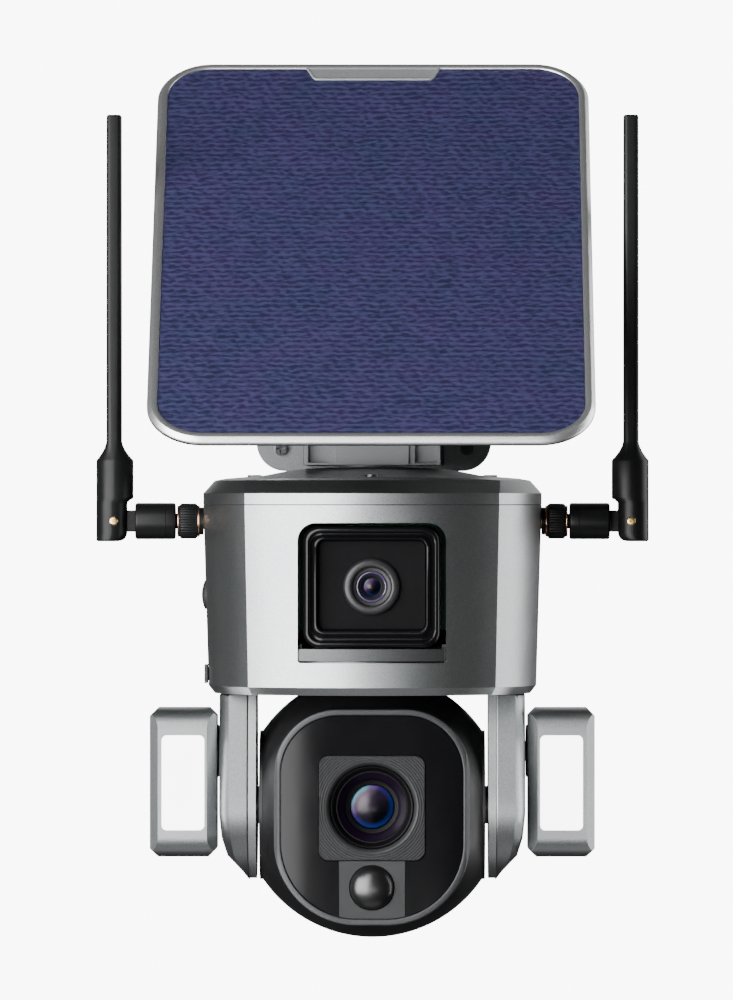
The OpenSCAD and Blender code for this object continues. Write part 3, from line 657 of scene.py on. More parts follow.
def carve(obj, maker, sharp, kind="DIFFERENCE"):
    """Combines obj with the maker's solid and applies the result."""
    bmesh.ops.recalc_face_normals(maker.bm, faces=maker.bm.faces)
    cutter = maker.build()
    cut = obj.modifiers.new("cut", "BOOLEAN")
    cut.operation = kind
    cut.solver = "EXACT"
    cut.object = cutter
    bpy.context.view_layer.update()
    evaluated = obj.evaluated_get(bpy.context.evaluated_depsgraph_get())
    result = bpy.data.meshes.new_from_object(evaluated)
    obj.modifiers.remove(cut)
    obj.data = result
    smooth(result, sharp)
    bpy.data.objects.remove(cutter)


# ---------------------------------------------------------------- solar panel
# Drawn flat, in mm from the hinge: x across, y up the slope, z out of the glass

FRAME_THICK = 3.4
FRAME_BEVEL = 1.4
PANEL_LOW, PANEL_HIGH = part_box("solar_frame")
PANEL_W = (PANEL_HIGH.x - PANEL_LOW.x) / MM
PANEL_TALL = (PANEL_HIGH.z - PANEL_LOW.z) / MM
PANEL_L = (PANEL_TALL + FRAME_BEVEL * math.cos(PANEL_LEAN)
           - FRAME_THICK * math.sin(PANEL_LEAN)) / math.cos(PANEL_LEAN)
PANEL_PLACE = Matrix.Translation(PANEL_HINGE) @ Matrix.Rotation(math.pi / 2 - PANEL_LEAN, 4, "X")
PANEL_CORNER = 21.5
PANEL_STEPS = 14
LAMINATE_IN = 4.12
# The tab: its lower edge from the panel's top, and its half width there and at its wide end
TAB_DEEP, TAB_LOW_HALF, TAB_TOP_HALF = 10.9, 23.6, 27.2
TAB_ROUND = 2.6


def panel_outline(d):
    x = PANEL_W / 2 - d
    y = PANEL_L / 2 - d
    return round_rect(-x, x, -y, y, PANEL_CORNER - d, PANEL_STEPS)


def solar_frame():
    """Rounded aluminium frame: thin rim, bright bevel, narrow lip, inner pocket; the rim's black
    band along the back of the outer wall is painted shade.
    """
    # Black below the bevel: painted shade of the frame's lower edge
    rim = [(6.2, 16.0), (6.2, 14.0), (4.6, 14.0), (4.4, 14.2), (4.4, 17.6), (0.3, 17.6),
           (0.05, 17.7), (0.0, 18.0), (0.0, 18.5)]
    bevel = [(0.0, 18.5), (0.0, 19.0), (0.12, 19.3), (1.35, 20.75), (1.6, 20.95), (1.95, 21.0),
             (3.4, 20.98), (3.8, 20.85), (3.98, 20.5), (4.02, 18.5), (9.0, 18.5), (9.0, 16.0),
             (6.2, 16.0)]
    m = Maker("solar_frame_lip", PANEL_PLACE)
    for steps, slot in ((rim, "black_plastic"), (bevel, "panel_frame")):
        m.loft([[(x, y, h) for x, y in panel_outline(d)] for d, h in steps], slot)
    m.finish("panel", ["solar_frame"], "panel_frame", 24)


def solar_glass():
    """Laminate with rounded corners and a notch for the tab."""
    gap = 0.1  # round the tab
    top = PANEL_L / 2 - LAMINATE_IN
    side = PANEL_W / 2 - LAMINATE_IN
    ring = round_rect(-side, side, -top, top, PANEL_CORNER - LAMINATE_IN, PANEL_STEPS)

    # The notch is drawn up to above the edge, then cut off where the edge is
    above = top + 4
    low = PANEL_L / 2 - TAB_DEEP - 0.12
    wide, narrow = TAB_TOP_HALF + gap, TAB_LOW_HALF + gap
    notch = rounded([(wide, above, 0.1), (narrow, low, TAB_ROUND), (-narrow, low, TAB_ROUND),
                     (-wide, above, 0.1)])
    edge = narrow + (wide - narrow) / (above - low) * (top - low)
    inner = [p for p in notch if p[1] < top - 0.02]
    first_corner = PANEL_STEPS + 1
    ring[first_corner:first_corner] = [(edge, top)] + inner + [(-edge, top)]
    m = Maker("solar_laminate_skin", PANEL_PLACE)
    m.stack(ring, [(0.0, 18.6), (0.0, 20.3), (0.18, 20.45)], "solar_cells")
    m.finish("panel", ["solar_laminate"], "solar_cells", 30)


def solar_tab():
    """Grey tab over the laminate's notch."""
    gap = 0.05  # inside the tab's drawn outline
    top = PANEL_L / 2 - 3.0
    low = PANEL_L / 2 - TAB_DEEP + gap
    wide, narrow = TAB_TOP_HALF - gap, TAB_LOW_HALF - gap
    outline = rounded([(-wide, top, 0.4), (-narrow, low, TAB_ROUND), (narrow, low, TAB_ROUND),
                       (wide, top, 0.4)])
    m = Maker("solar_tab_cover", PANEL_PLACE)
    m.stack(outline, [(0.0, 18.65), (0.0, 20.45), (0.12, 20.75), (0.4, 20.92), (0.8, 20.92),
                      (1.05, 20.72), (1.6, 20.66)], "tab_grey")
    m.finish("panel", ["solar_tab"], "tab_grey", 40)


# ---------------------------------------------------------------- upper camera
# Drawn from the front, in mm: x across, z up from the origin, f forward from the drum's axis

WINDOW_HALF, WINDOW_TOP, WINDOW_LOW = 26.3, -75.6, -122.4
WINDOW_CORNER = 6.0
FIXED_LENS_Z = -98.9
DRUM_CURVE = 180.0  # twice the drum's radius


def curved(ring, f, bow=1.0):
    """Puts a ring f in front of the drum's axis, following the share bow of its curve."""
    return [(x, z, f - bow * x * x / DRUM_CURVE) for x, z in ring]


def upper_housing():
    """Gloss black housing in the drum's window, with two rounded beads round its recess."""

    def ring(d, drop=0.0):
        side = WINDOW_HALF - d
        radius = max(1.0, WINDOW_CORNER - 0.55 * d)
        return round_rect(-side, side, WINDOW_LOW + d + drop, WINDOW_TOP - d, radius, 10)

    bead_in = 2.6
    rings = [curved(ring(0.0), 34.0, 0.0), curved(ring(0.0), 56.0)]
    for d, f in ((0.12, 57.0), (0.45, 57.8), (1.0, 58.3), (1.7, 58.4), (2.3, 57.9), (2.65, 57.0)):
        rings.append(curved(ring(d), f))
    for d, f, bow in ((2.8, 55.4, 0.8), (3.1, 54.9, 0.6), (3.7, 55.0, 0.5), (4.15, 55.5, 0.4),
                      (4.7, 55.6, 0.3), (5.15, 55.2, 0.2), (5.4, 54.3, 0.1), (5.5, 51.05, 0.0)):
        rings.append(curved(ring(d, 0.5 * (d - bead_in)), f, bow))
    rings.append(curved(ring(5.5, 1.45), 36.0, 0.0))
    rings.append(curved(ring(2.0), 34.0, 0.0))
    m = Maker("upper_lens_housing", front_at(DRUM_Y, 0.0))
    m.loft(rings, "gloss_black", closed=True)
    m.finish("mount", ["lens_housing"], "gloss_black", 50)


def upper_panel():
    """Gloss plate round the fixed lens, with a round bore."""
    bore_r = 7.5
    shrink = 0.985
    outline = round_rect(-20.75, 20.75, -115.5, -81.15, 2.6, 8)
    centre = FIXED_LENS_Z
    # The rim's points in the order of their directions, each with its partner on the bore
    ordered = sorted((math.atan2(z - centre, x) % (2 * math.pi), (x, z)) for x, z in outline)
    rim = [p for _, p in ordered]
    drawn_in = [(x * shrink, centre + (z - centre) * shrink) for x, z in rim]
    bore = [(bore_r * math.cos(a), centre + bore_r * math.sin(a)) for a, _ in ordered]
    rings = [[(x, z, f) for x, z in ring] for ring, f in (
        (bore, 48.2), (rim, 48.2), (rim, 50.6), (drawn_in, 50.95), (bore, 50.95))]
    m = Maker("upper_lens_panel", front_at(DRUM_Y, 0.0))
    m.loft(rings, "lens_panel_black", closed=True)
    m.finish("mount", ["lens_panel"], "black_plastic", 30)


def fixed_lens():
    """Fixed lens: rounded rim, coloured ring, dark inner steps and a domed glass."""
    place = front_at(DRUM_Y, FIXED_LENS_Z * MM)
    rim = [(4.6, 34.0), (7.35, 34.0), (7.35, 50.9), (10.9, 50.98), (11.0, 51.3)]
    rim += arc(9.3, 51.6, 1.7, 0, 90, 5)
    rim += [(8.5, 53.45), (7.9, 53.3), (7.55, 52.9), (7.35, 52.2), (7.2, 51.6), (6.2, 51.45),
            (6.0, 51.1), (5.65, 51.1)]
    steps = [(5.15, 51.1), (5.0, 50.6), (4.2, 50.5), (4.0, 50.1), (3.5, 50.0), (3.4, 46.0),
             (4.6, 46.0), (4.6, 34.0)]
    barrel = Maker("upper_lens_barrel", place)
    barrel.lathe(rim, "lens_rim")
    barrel.lathe([(5.65, 51.1), (5.4, 51.25), (5.15, 51.1)], "lens_ring")
    barrel.lathe(steps, "lens_inner")
    barrel.finish("mount", ["fixed_lens_barrel"], "black_plastic", 40)
    glass = Maker("upper_lens_glass", place)
    dome = cap(FIXED_GLASS_R - 0.02, 48.75, 2.65, 52, 13)
    glass.lathe([(0.0, 46.2), (FIXED_GLASS_R - 0.05, 46.2)] + dome, "lens_glass", 64)
    glass.finish("mount", ["fixed_lens"], "lens_glass", 60)


# ---------------------------------------------------------------- ball head
# Drawn from the front, in mm: x across, z up from the tilt axis, forward from the drum's axis

HEAD_PLACE = front_at(DRUM_Y, TILT_Z)
FACE_W, FACE_TOP, FACE_CORNER = 37.8, 38.2, 25.0
JAW_R, JAW_Z = 32.0, -13.3
RING_BACK = 36.52
GLASS_IN = 2.56
GLASS_BACK, GLASS_FRONT = 35.7, 38.25
GLASS_FLAT_HALF, GLASS_FALL = 13.0, 0.0036
BEZEL_HALF, BEZEL_TALL, BEZEL_CORNER = 20.5, 20.25, 3.9
BEZEL_BACK = 28.6
ZOOM_Z = 0.3
DOME_Z = -30.7
DOME_R = 8.6
TAB_HALF = 12.9


def in_face(x, z, d):
    """Front view of the face, moved in by d: wide round top corners and a rounder jaw."""
    x = abs(x)
    if z > FACE_TOP - FACE_CORNER:
        cx, cz = FACE_W - FACE_CORNER, FACE_TOP - FACE_CORNER
        return z <= FACE_TOP - d if x <= cx else math.hypot(x - cx, z - cz) <= FACE_CORNER - d
    if z < JAW_Z:
        cx, r = FACE_W - JAW_R, JAW_R - d
        return z >= JAW_Z - r if x <= cx else math.hypot(x - cx, z - JAW_Z) <= r
    return x <= FACE_W - d


def in_bezel(x, z, d=0.0):
    """Front view of the square bezel, moved in by d."""
    wide, tall = BEZEL_HALF - d, BEZEL_TALL - d
    if abs(x) > wide or abs(z) >= tall:
        return False
    past_x = max(0.0, abs(x) - (wide - BEZEL_CORNER))
    past_z = max(0.0, abs(z) - (tall - BEZEL_CORNER))
    return past_x == 0.0 or math.hypot(past_x, past_z) <= BEZEL_CORNER


def glass_height(x):
    """Front of the face glass: flat in the middle, falling away to both sides."""
    past = max(0.0, abs(x) - GLASS_FLAT_HALF)
    return GLASS_FRONT - past * past * GLASS_FALL


def face_ring():
    """Grey ring round the face glass; its front follows the glass."""
    m = Maker("head_face_ring", HEAD_PLACE)
    section = ((0.0, RING_BACK), (0.0, 38.0), (0.1, 38.3), (0.3, 38.45), (0.6, 38.5), (2.0, 38.5),
               (2.3, 38.42), (2.44, 38.3), (2.5, 38.1), (2.5, RING_BACK))
    rings = []
    for d, h in section:
        outline = polar(lambda x, z: in_face(x, z, d), 320)
        flat = h == RING_BACK
        rings.append([(x, z, h if flat else h - GLASS_FRONT + glass_height(x))
                      for x, z in outline])
    m.loft(rings, "ring_grey", closed=True)
    m.finish("head", ["face_ring"], "ring_grey", 40)


def face_glass():
    """Gloss plate between the ring and the bezel, open over the sensor's tab."""
    n = 480
    strips = 12
    fine = 0.012  # a narrow strip at each border keeps its edge crisp
    sunk = 0.25

    def in_opening(x, z):
        at_tab = abs(x) < TAB_HALF and z < 0
        return (in_bezel(x, z, -0.12) or at_tab) and in_face(x, z, GLASS_IN - 0.01)

    outer = polar(lambda x, z: in_face(x, z, GLASS_IN), n)
    inner = polar(in_opening, n)
    rings = [[(x, z, GLASS_BACK) for x, z in inner]]
    for t in [0.0, fine] + [i / strips for i in range(1, strips)] + [1 - fine, 1.0]:
        drop = sunk if t in (0.0, 1.0) else 0.0
        ring = []
        for (ax, az), (bx, bz) in zip(inner, outer):
            x = ax + (bx - ax) * t
            z = az + (bz - az) * t
            ring.append((x, z, glass_height(x) - drop))
        rings.append(ring)
    rings.append([(x, z, GLASS_BACK) for x, z in outer])
    m = Maker("head_face_glass", HEAD_PLACE)
    m.loft(rings, "face_gloss", closed=True)
    m.finish("head", ["face_glass"], "gloss_black", 40)


def lens_bezel():
    """Square bezel with concentric ridges round the zoom lens."""
    n = 288
    edge = polar(in_bezel, n, centre=(0.0, ZOOM_Z))
    reach = [math.hypot(x, z - ZOOM_Z) for x, z in edge]
    corner_reach = 28.5  # about as far as the bezel's corners

    def ring_at(r, h, pull=0.0):
        """A circle of radius r that stays pull inside the bezel's edge."""
        points = []
        for i in range(n):
            a = 2 * math.pi * i / n
            rr = min(r, reach[i] - pull)
            points.append((rr * math.cos(a), ZOOM_Z + rr * math.sin(a), h))
        return points

    mouth = ((16.25, BEZEL_BACK), (16.25, 36.6), (16.7, 37.6), (17.2, 38.2), (17.6, 38.5))
    rings = [ring_at(r, h) for r, h in mouth]
    r, pitch = 18.0, 0.98
    while r < corner_reach:
        for part, h in ((0.0, 38.55), (0.18, 38.12), (0.42, 38.12), (0.6, 38.55)):
            rings.append(ring_at(r + part * pitch, h, 0.35))
        r += pitch
    rings.append(ring_at(POLAR_REACH, 38.3, 0.12))
    rings.append([(x, z, 38.0) for x, z in edge])
    rings.append([(x, z, BEZEL_BACK) for x, z in edge])
    m = Maker("head_lens_bezel", HEAD_PLACE)
    m.loft(rings, "bezel_grey", closed=True)
    m.finish("head", ["lens_bezel"], "bezel_grey", 30)


def zoom_lens():
    """Zoom lens: wide dark barrel with a violet cone, whose violet is a painted reflection of the
    coated glass, and its domed glass.
    """
    place = front_at(DRUM_Y, TILT_Z + ZOOM_Z * MM)
    n = 128
    outside = [(7.0, 2.0), (13.95, 2.0), (13.95, 22.0), (16.1, 22.0), (16.1, 35.6), (15.95, 36.0),
               (15.6, 36.15), (15.2, 36.0), (14.9, 35.4), (14.0, 34.4), (13.9, 34.1),
               (13.4, 34.1), (13.3, 33.6)]
    steps = [(10.5, 31.6), (10.2, 31.1), (9.5, 30.9), (9.4, 30.4), (8.9, 30.3), (8.6, 29.8),
             (8.5, 26.0), (7.0, 26.0), (7.0, 2.0)]
    barrel = Maker("zoom_lens_barrel", place)
    barrel.lathe(outside, "lens_inner", n)
    # The cone's violet is painted reflection
    barrel.lathe([(13.3, 33.6), (12.6, 33.1), (11.4, 32.3), (10.5, 31.6)], "lens_tint", n)
    barrel.lathe(steps, "lens_inner", n)
    barrel.finish("head", ["zoom_barrel"], "black_plastic", 40)
    glass = Maker("zoom_lens_glass", place)
    dome = cap(ZOOM_GLASS_R, 28.2, 3.3, 50, 16)
    glass.lathe([(0.0, 26.2), (ZOOM_GLASS_R - 0.05, 26.2)] + dome, "zoom_glass")
    glass.finish("head", ["zoom_lens"], "lens_glass", 60)


def head_seam():
    """Lips inside the head that close the seam between its shells, above and below the axle."""
    first, sweep, n = 33, 114, 48
    section = ((49.6, -1.2), (51.2, -1.2), (51.2, 0.9), (49.6, 0.9))
    m = Maker("head_seam_lip", HEAD_PLACE)
    for half in (1, -1):
        rings = []
        for k in range(n + 1):
            a = math.radians(first + sweep * k / n)
            x, z = math.cos(a), half * math.sin(a)
            rings.append([(r * x, r * z, h) for r, h in section])
        m.loft(rings, "ball_black", caps=True)
    m.finish("head", [], "ball_black", 40)


def pir_dome():
    """Domed window of the motion sensor."""
    angles = [math.radians(a) for a in range(0, 91, 6)]
    dome = [(DOME_R * math.cos(a), 37.2 + 5.6 * math.sin(a)) for a in angles]
    m = Maker("head_sensor_dome", front_at(DRUM_Y, TILT_Z + DOME_Z * MM))
    m.lathe([(0.0, 33.6), (DOME_R, 33.6)] + dome, "dome_black")
    m.finish("head", ["pir_dome"], "gloss_black", 60)


# ---------------------------------------------------------------- yoke arms

ARM_INNER, ARM_OUTER = 48.05, 59.3
ARM_R, ARM_TOP = 29.0, 43.2
# The taper: half depth at height TAPER_Z and how much of it is lost up to the top
TAPER_Z, TAPER_HALF, TAPER_LOSS = 5.0, 28.57, 6.57
# Distance of the outer face from the middle, at heights over the tilt axis
ARM_SHAPE = ((-29.4, 46.6), (-28.4, 48.6), (-19.3, 56.3), (-12.0, 58.4), (-3.0, ARM_OUTER),
             (50.0, ARM_OUTER))


def arm_width(z):
    """Distance of an arm's outer face from the middle at height z over the tilt axis."""
    for (z0, w0), (z1, w1) in zip(ARM_SHAPE, ARM_SHAPE[1:]):
        if z <= z1:
            return w0 + (w1 - w0) * max(0.0, z - z0) / (z1 - z0)
    return ARM_OUTER


def arm_side_outline(d):
    """Side view of an arm, moved in by d: straight square top, round bottom."""

    def inside(y, z):
        if z > ARM_TOP:
            return False
        if z > TAPER_Z:
            lost = TAPER_LOSS * (z - TAPER_Z) / (ARM_TOP - TAPER_Z)
            return abs(y) <= TAPER_HALF - d - lost
        return math.hypot(y, z) <= ARM_R - d

    return polar(inside, 200)


def yoke_arm(sx, side):
    """An arm's outer shell with a rounded shoulder, and the neck under the drum."""
    name = "yoke_arm_" + side
    turn = [math.radians(40 + 40 * k / 6) for k in range(7)]
    first, last = math.sin(turn[0]), math.sin(turn[-1])
    # Inset of the outline and share of the arm's width, from the inner face outwards
    steps = [(0.5, 0.0), (0.15, 0.02), (0.0, 0.05)]
    for a in turn:
        steps.append((11.0 * (math.cos(turn[0]) - math.cos(a)),
                      0.66 + 0.34 * (math.sin(a) - first) / (last - first)))
    steps.append((9.0, 1.0))
    rings = []
    for d, t in steps:
        rings.append([(sx * (ARM_INNER + (arm_width(z) - ARM_INNER) * t), y, z)
                      for y, z in arm_side_outline(d)])
    m = Maker(name + "_shell", Matrix.Translation((0.0, DRUM_Y, TILT_Z)))
    m.loft(rings, "yoke_grey", caps=True)
    neck = [(-11.9, 40.0), (11.9, 40.0), (11.9, 55.8), (-11.9, 55.8)]
    m.loft([[(sx * x, y, z) for y, z in neck] for x in (48.1, 49.9)], "yoke_grey", caps=True)
    even_shading(m.finish("yoke", [name], "yoke_grey", 22), 90, True)


# ---------------------------------------------------------------- floodlights

LAMP_INNER = 60.3
PIVOT_R = 4.0
ACROSS, FORWARD, UP = 0, 1, 2


def lamp(sx, side):
    """Floodlight body: chamfered sides, rolled top and bottom, cut corners, pivot boss."""
    body = "lamp_" + side
    low, high = (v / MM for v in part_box("lamp_body_" + side))
    z0, z1 = low.z, high.z
    x0, x1 = LAMP_INNER, max(abs(low.x), abs(high.x))
    mid = (z0 + z1) / 2

    def prism(name, points, axis, a, b):
        """Solid from a to b along one axis, from a drawing in the two others."""
        rings = []
        for depth in (a, b):
            ring = []
            for point in points:
                x, f, z = point[:axis] + (depth,) + point[axis:]
                ring.append((sx * x, -f, z))
            rings.append(ring)
        m = Maker(name, Matrix.Translation((0.0, DRUM_Y, 0.0)))
        m.loft(rings, "lamp_grey", caps=True)
        return m

    plan = [(x0 + 0.5, -4.0), (x1 - 0.5, -4.0), (x1, -3.5), (x1, 18.8), (x1 - 3.2, 22.0),
            (x0 + 3.8, 22.0), (x0, 18.2), (x0, -3.5)]
    roll = arc(14.0, z1 - 8.0, 8.0, 90, 0, 12) + arc(14.0, z0 + 8.0, 8.0, 0, -90, 12)
    roll += [(-3.0, z0), (-4.0, z0 + 1.0), (-4.0, z1 - 1.0), (-3.0, z1)]
    front = [(x0 + 3.4, z0), (x1 - 3.4, z0), (x1, z0 + 3.4), (x1, z1 - 3.0), (x1 - 3.0, z1),
             (x0 + 3.0, z1), (x0, z1 - 3.0), (x0, z0 + 3.4)]
    hollow = [(62.5, z0 + 9.0), (x1 - 2.2, z0 + 9.0), (x1 - 2.2, z1 - 9.0), (62.5, z1 - 9.0)]
    window = round_rect(65.05, 81.65, mid - 18.4, mid + 18.4, 2.0, 6)
    whole = prism(body + "_shell", plan, UP, z0 - 1.0, z1 + 1.0)
    obj = whole.finish(body, ["lamp_body_" + side], "lamp_grey", 20)
    carve(obj, prism("cutter", roll, ACROSS, 50.0, 100.0), 20, "INTERSECT")
    carve(obj, prism("cutter", front, FORWARD, -10.0, 30.0), 20, "INTERSECT")
    carve(obj, prism("cutter", hollow, FORWARD, -1.9, 16.0), 20)
    carve(obj, prism("cutter", window, FORWARD, 10.0, 30.0), 20)
    even_shading(obj, 90, True)

    pivot = side_at(sx, DRUM_Y, PIVOT_Z)
    # The boss gets the lighter liner grey instead of the lamp's grey: a painted highlight on the
    # pivot
    boss = Maker(body + "_boss", pivot)
    boss.lathe([(0.0, 59.7), (9.7, 59.7), (10.0, 59.8), (10.2, 60.1), (10.2, 61.0), (0.0, 61.0)],
               "liner_grey")
    boss.finish(body, [], "lamp_grey", 40)
    stub = Maker(body + "_stub", pivot)
    stub.lathe([(0.0, 55.3), (PIVOT_R - 0.4, 55.3), (PIVOT_R, 55.7), (PIVOT_R, 60.0),
                (0.0, 60.0)], "black_plastic", 64)
    stub.finish(body, [], "black_plastic", 40)


# ---------------------------------------------------------------- antennas

ANTENNA_X = 100.7
SLEEVE_START, SLEEVE_R = 75.7, 7.1


def blade_rows(tip):
    """Height, outer half, inner half, half depth and corner radius of a blade's sections."""
    foot_r = 3.8
    rows = []
    for h in (0.0, 0.25, 0.6, 1.1, 1.9, 2.8, foot_r):
        inner = 1.5 + math.sqrt(max(0.0, foot_r ** 2 - (foot_r - h) ** 2))
        pull = 0.6 if h == 0 else 0.3 if h < 0.3 else 0.0
        rows.append((-7.9 + h, 7.0 - pull, inner, 7.2 - pull, 7.0))
    rows += [(7.0, 7.0, 5.3, 7.2, 7.0), (7.3, 7.0, 5.4, 7.2, 7.0), (8.8, 7.0, 7.3, 7.2, 7.0),
             (9.1, 7.0, 7.45, 7.2, 7.0), (23.3, 7.0, 7.45, 7.2, 7.0), (23.8, 6.9, 7.35, 7.1, 7.0)]
    waist = 8
    for k in range(1, waist + 1):
        t = k / waist
        ease = 1 - (1 - t) ** 1.7
        rows.append((23.8 + 7.6 * t, 6.9 - 3.9 * ease, 7.35 - 4.45 * ease, 7.1 - 1.9 * ease,
                     7.0 - 5.0 * ease))
    return rows + [(90.0, 3.0, 2.9, 4.9, 1.6), (tip - 0.9, 2.95, 2.85, 4.6, 1.5),
                   (tip - 0.35, 2.8, 2.7, 4.4, 1.4), (tip - 0.05, 2.4, 2.3, 4.0, 1.2)]


def antenna(sx, side):
    """Hinged blade antenna: knuckle barrel with a fork slot, waist and slim blade."""
    blade, base = "antenna_blade_" + side[0], "antenna_base_" + side[0]
    at_fold = Matrix.Translation((sx * ANTENNA_X * MM, DRUM_Y, SMA_Z))
    tip = (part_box("antenna_blade_" + side)[1].z - SMA_Z) / MM
    rings = []
    for z, out, inn, deep, r in blade_rows(tip):
        radius = min(r, (inn + out) / 2 - 0.05, deep - 0.05)
        outline = round_rect(-out, inn, -deep, deep, radius, 8)
        if sx > 0:
            outline = [(-x, y) for x, y in reversed(outline)]
        rings.append([(x, y, z) for x, y in outline])
    m = Maker("antenna_" + side + "_blade", at_fold)
    m.loft(rings, "antenna_black", caps=True)
    obj = m.finish(blade, ["antenna_blade_" + side], "antenna_black", 38)

    fork = Maker("cutter", at_fold)
    x0, x1 = sorted((sx * 5.5, sx * -12.0))
    block = round_rect(x0, x1, -2.85, 2.85, 0.4, 3)
    fork.loft([[(x, y, z) for x, y in block] for z in (-9.0, 8.5)], "antenna_black", caps=True)
    carve(obj, fork, 38)

    rivet = Maker("antenna_" + side + "_rivet", at_fold)
    head = [(0.0, 5.0), (1.75, 5.0), (1.75, 7.1), (1.6, 7.32), (1.2, 7.46), (0.6, 7.5), (0.0, 7.5)]
    for face in (-1, 1):
        facing = Matrix.Rotation(math.pi / 2 * face, 4, "X")
        rivet.lathe(head, "gold_brass", 40, place=facing)
    rivet.finish(blade, [], "gold_brass", 40)

    sleeve = [(0.0, SLEEVE_START), (2.9, SLEEVE_START), (2.9, 76.75), (6.3, 76.75)]
    sleeve += arc(6.3, 77.55, 0.8, -90, 0, 4)
    sleeve += [(SLEEVE_R, 80.4), (6.95, 80.5), (SLEEVE_R, 80.6), (SLEEVE_R, 91.6)]
    sleeve += arc(6.2, 91.6, 0.9, 0, 90, 4) + [(0.0, 92.5)]
    tongue = round_rect(-2.5, 2.5, -4.2, 4.2, 0.5, 4)
    knuckle = [(0.0, -2.5), (3.9, -2.5), (4.2, -2.2), (4.2, 2.2), (3.9, 2.5), (0.0, 2.5)]
    b = Maker("antenna_" + side + "_sleeve", side_at(sx, DRUM_Y, SMA_Z))
    b.lathe(sleeve, "antenna_black")
    b.loft([[(y, z, x) for y, z in tongue] for x in (92.3, ANTENNA_X)], "antenna_black", caps=True)
    across = Matrix.Translation((0, 0, ANTENNA_X)) @ Matrix.Rotation(math.pi / 2, 4, "Y")
    b.lathe(knuckle, "antenna_black", 64, place=across)
    b.finish(base, ["antenna_base_" + side], "antenna_black", 38)


def knurl(ring):
    """Presses fine grooves into a ring of a nut, where it is wide enough to be gripped."""
    grip_r, groove, teeth = 5.9, 0.22, 36
    shaped = []
    for x, y, h in ring:
        a = math.atan2(y, x)
        r = math.hypot(x, y)
        if r > grip_r:
            r -= groove * (0.5 - 0.5 * math.cos(a * teeth)) ** 2
        shaped.append((r * math.cos(a), r * math.sin(a), h))
    return shaped


def antenna_nuts():
    """Knurled coupling nuts with a copper ring at each end."""
    body = [(3.2, 67.9), (5.5, 67.9), (5.95, 67.95), (6.8, 68.8), (6.88, 69.0), (6.88, 74.4),
            (6.8, 74.6), (5.95, 75.45), (5.5, 75.5), (3.2, 75.5)]
    collar = [(3.2, 65.95), (5.35, 65.95), (5.35, 67.9), (3.2, 67.9)]
    m = Maker("antenna_nut_pair", Matrix.Translation((0.0, DRUM_Y, SMA_Z)))
    for sx in (-1, 1):
        place = side_at(sx, 0, 0)
        m.lathe(body, "antenna_black", 288, closed=True, place=place, wave=knurl)
        m.lathe(collar, "antenna_black", closed=True, place=place)
        for x0 in (67.35, 75.25):
            ring = [(3.6, x0), (5.7, x0)] + arc(5.7, x0 + 0.4, 0.4, -90, 90, 6) + [(3.6, x0 + 0.8)]
            m.lathe(ring, "copper_ring", closed=True, place=place)
    m.finish("mount", ["antenna_nuts"], "antenna_black", 38)


# ---------------------------------------------------------------- scene

AIM = Vector((0.0, DRUM_Y, -0.09))
WORLD_STRENGTH = 0.035
# Name, degrees to the right of the front, degrees up, distance, size in metres, glow
LIGHTS = (
    ("left_softbox", -40.0, 4.0, 1.5, (1.5, 1.5), 12.5),
    ("right_rim", 105.0, 4.0, 1.4, (0.9, 1.6), 4.6),
    ("left_rim", -128.0, 2.0, 1.5, (0.5, 1.4), 0.12),
    ("top_softbox", -10.0, 62.0, 1.5, (1.6, 0.9), 0.28),
    ("low_softbox", -5.0, -75.0, 1.3, (1.2, 0.8), 0.5),
    ("low_card", -4.0, -13.5, 1.6, (1.0, 0.2), 6.0),
    ("back_fill", 168.0, 24.0, 1.6, (1.8, 1.2), 0.9),
    ("spot_card", -20.0, 38.0, 1.4, (0.3, 0.3), 12.0),
)
# The pale bowl round the object, in metres
FLOOR_Z = CAD_BOX[0][2] - 0.02
FLOOR_FLAT, FLOOR_CURVE, FLOOR_WALL = 5.0, 2.0, 9.0
FLOOR_STEPS, FLOOR_SIDES = 16, 96


def camera():
    data = bpy.data.cameras.new("camera")
    data.lens = LENS
    data.sensor_width = SENSOR
    data.sensor_fit = "AUTO"
    data.clip_end = 50.0
    obj = add_object("camera", data)
    obj.location = (EYE_X, DRUM_Y - CAMERA_DISTANCE, EYE_Z)
    obj.rotation_euler = (math.pi / 2, 0.0, EYE_TURN)
    bpy.context.scene.camera = obj


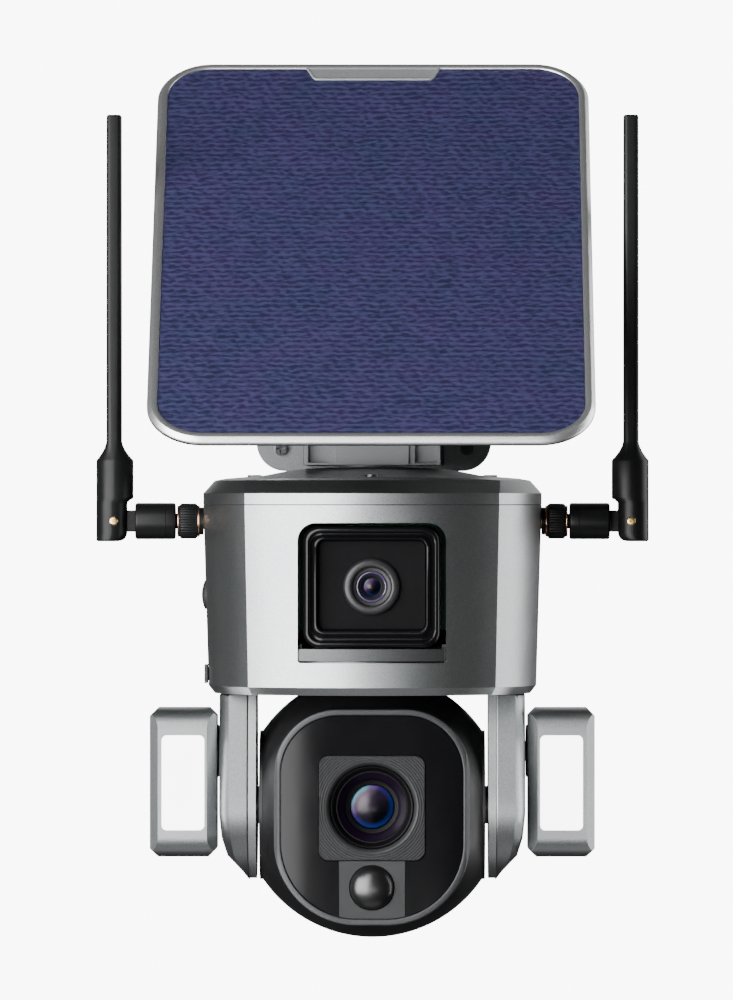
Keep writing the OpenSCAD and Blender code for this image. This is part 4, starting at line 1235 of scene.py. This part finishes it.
def softbox(name, turn, lift, distance, size, glow):
    """Soft light aimed at the drum; its power grows with its size, its glow doesn't."""
    a, e = math.radians(turn), math.radians(lift)
    out = Vector((math.sin(a) * math.cos(e), -math.cos(a) * math.cos(e), math.sin(e)))
    data = bpy.data.lights.new(name, "AREA")
    data.shape = "RECTANGLE"
    data.size = size[0]
    data.size_y = size[1]
    data.energy = glow * size[0] * size[1] * math.pi
    obj = add_object(name, data)
    obj.location = AIM + out * distance
    obj.rotation_euler = (-out).to_track_quat("-Z", "Y").to_euler()


def world():
    made = bpy.data.worlds.new("studio")
    made.use_nodes = True
    back = made.node_tree.nodes["Background"]
    back.inputs["Color"].default_value = (1.0, 1.0, 1.0, 1.0)
    back.inputs["Strength"].default_value = WORLD_STRENGTH
    bpy.context.scene.world = made


def floor():
    """A large round pale floor that curves up into a backdrop on every side."""
    profile = [(FLOOR_FLAT, 0.0)]
    for i in range(1, FLOOR_STEPS + 1):
        a = math.pi / 2 * i / FLOOR_STEPS
        profile.append((FLOOR_FLAT + FLOOR_CURVE * math.sin(a),
                        FLOOR_CURVE - FLOOR_CURVE * math.cos(a)))
    profile.append((FLOOR_FLAT + FLOOR_CURVE, FLOOR_WALL))
    bm = bmesh.new()
    rows = [[bm.verts.new((x, y, FLOOR_Z + z)) for x, y in circle(r, FLOOR_SIDES)]
            for r, z in profile]
    bm.faces.new(rows[0])
    for a, b in zip(rows, rows[1:]):
        for i in range(FLOOR_SIDES):
            j = (i + 1) % FLOOR_SIDES
            bm.faces.new((a[i], a[j], b[j], b[i]))
    mesh = bpy.data.meshes.new("floor")
    bm.to_mesh(mesh)
    bm.free()
    for face in mesh.polygons:
        face.use_smooth = True
    obj = add_object("floor", mesh)
    s = Shader("floor_pale", (0.9, 0.9, 0.9), 0.7)
    s.colour_from(s.ramp(s.noise(0.6, 3), [(0.3, (0.88, 0.88, 0.88)), (0.7, (0.91, 0.91, 0.91))]))
    s.glow(9.0)
    mesh.materials.append(s.material)
    obj.visible_diffuse = False
    obj.visible_glossy = False
    obj.visible_transmission = False
    obj.visible_shadow = False


camera()
world()
for light in LIGHTS:
    softbox(*light)
floor()
dress_cad()
solar_frame()
solar_glass()
solar_tab()
upper_housing()
upper_panel()
fixed_lens()
face_ring()
face_glass()
lens_bezel()
zoom_lens()
pir_dome()
head_seam()
yoke_arm(-1, "left")
yoke_arm(1, "right")
antenna(-1, "left")
antenna(1, "right")
antenna_nuts()
lamp(-1, "left")
lamp(1, "right")
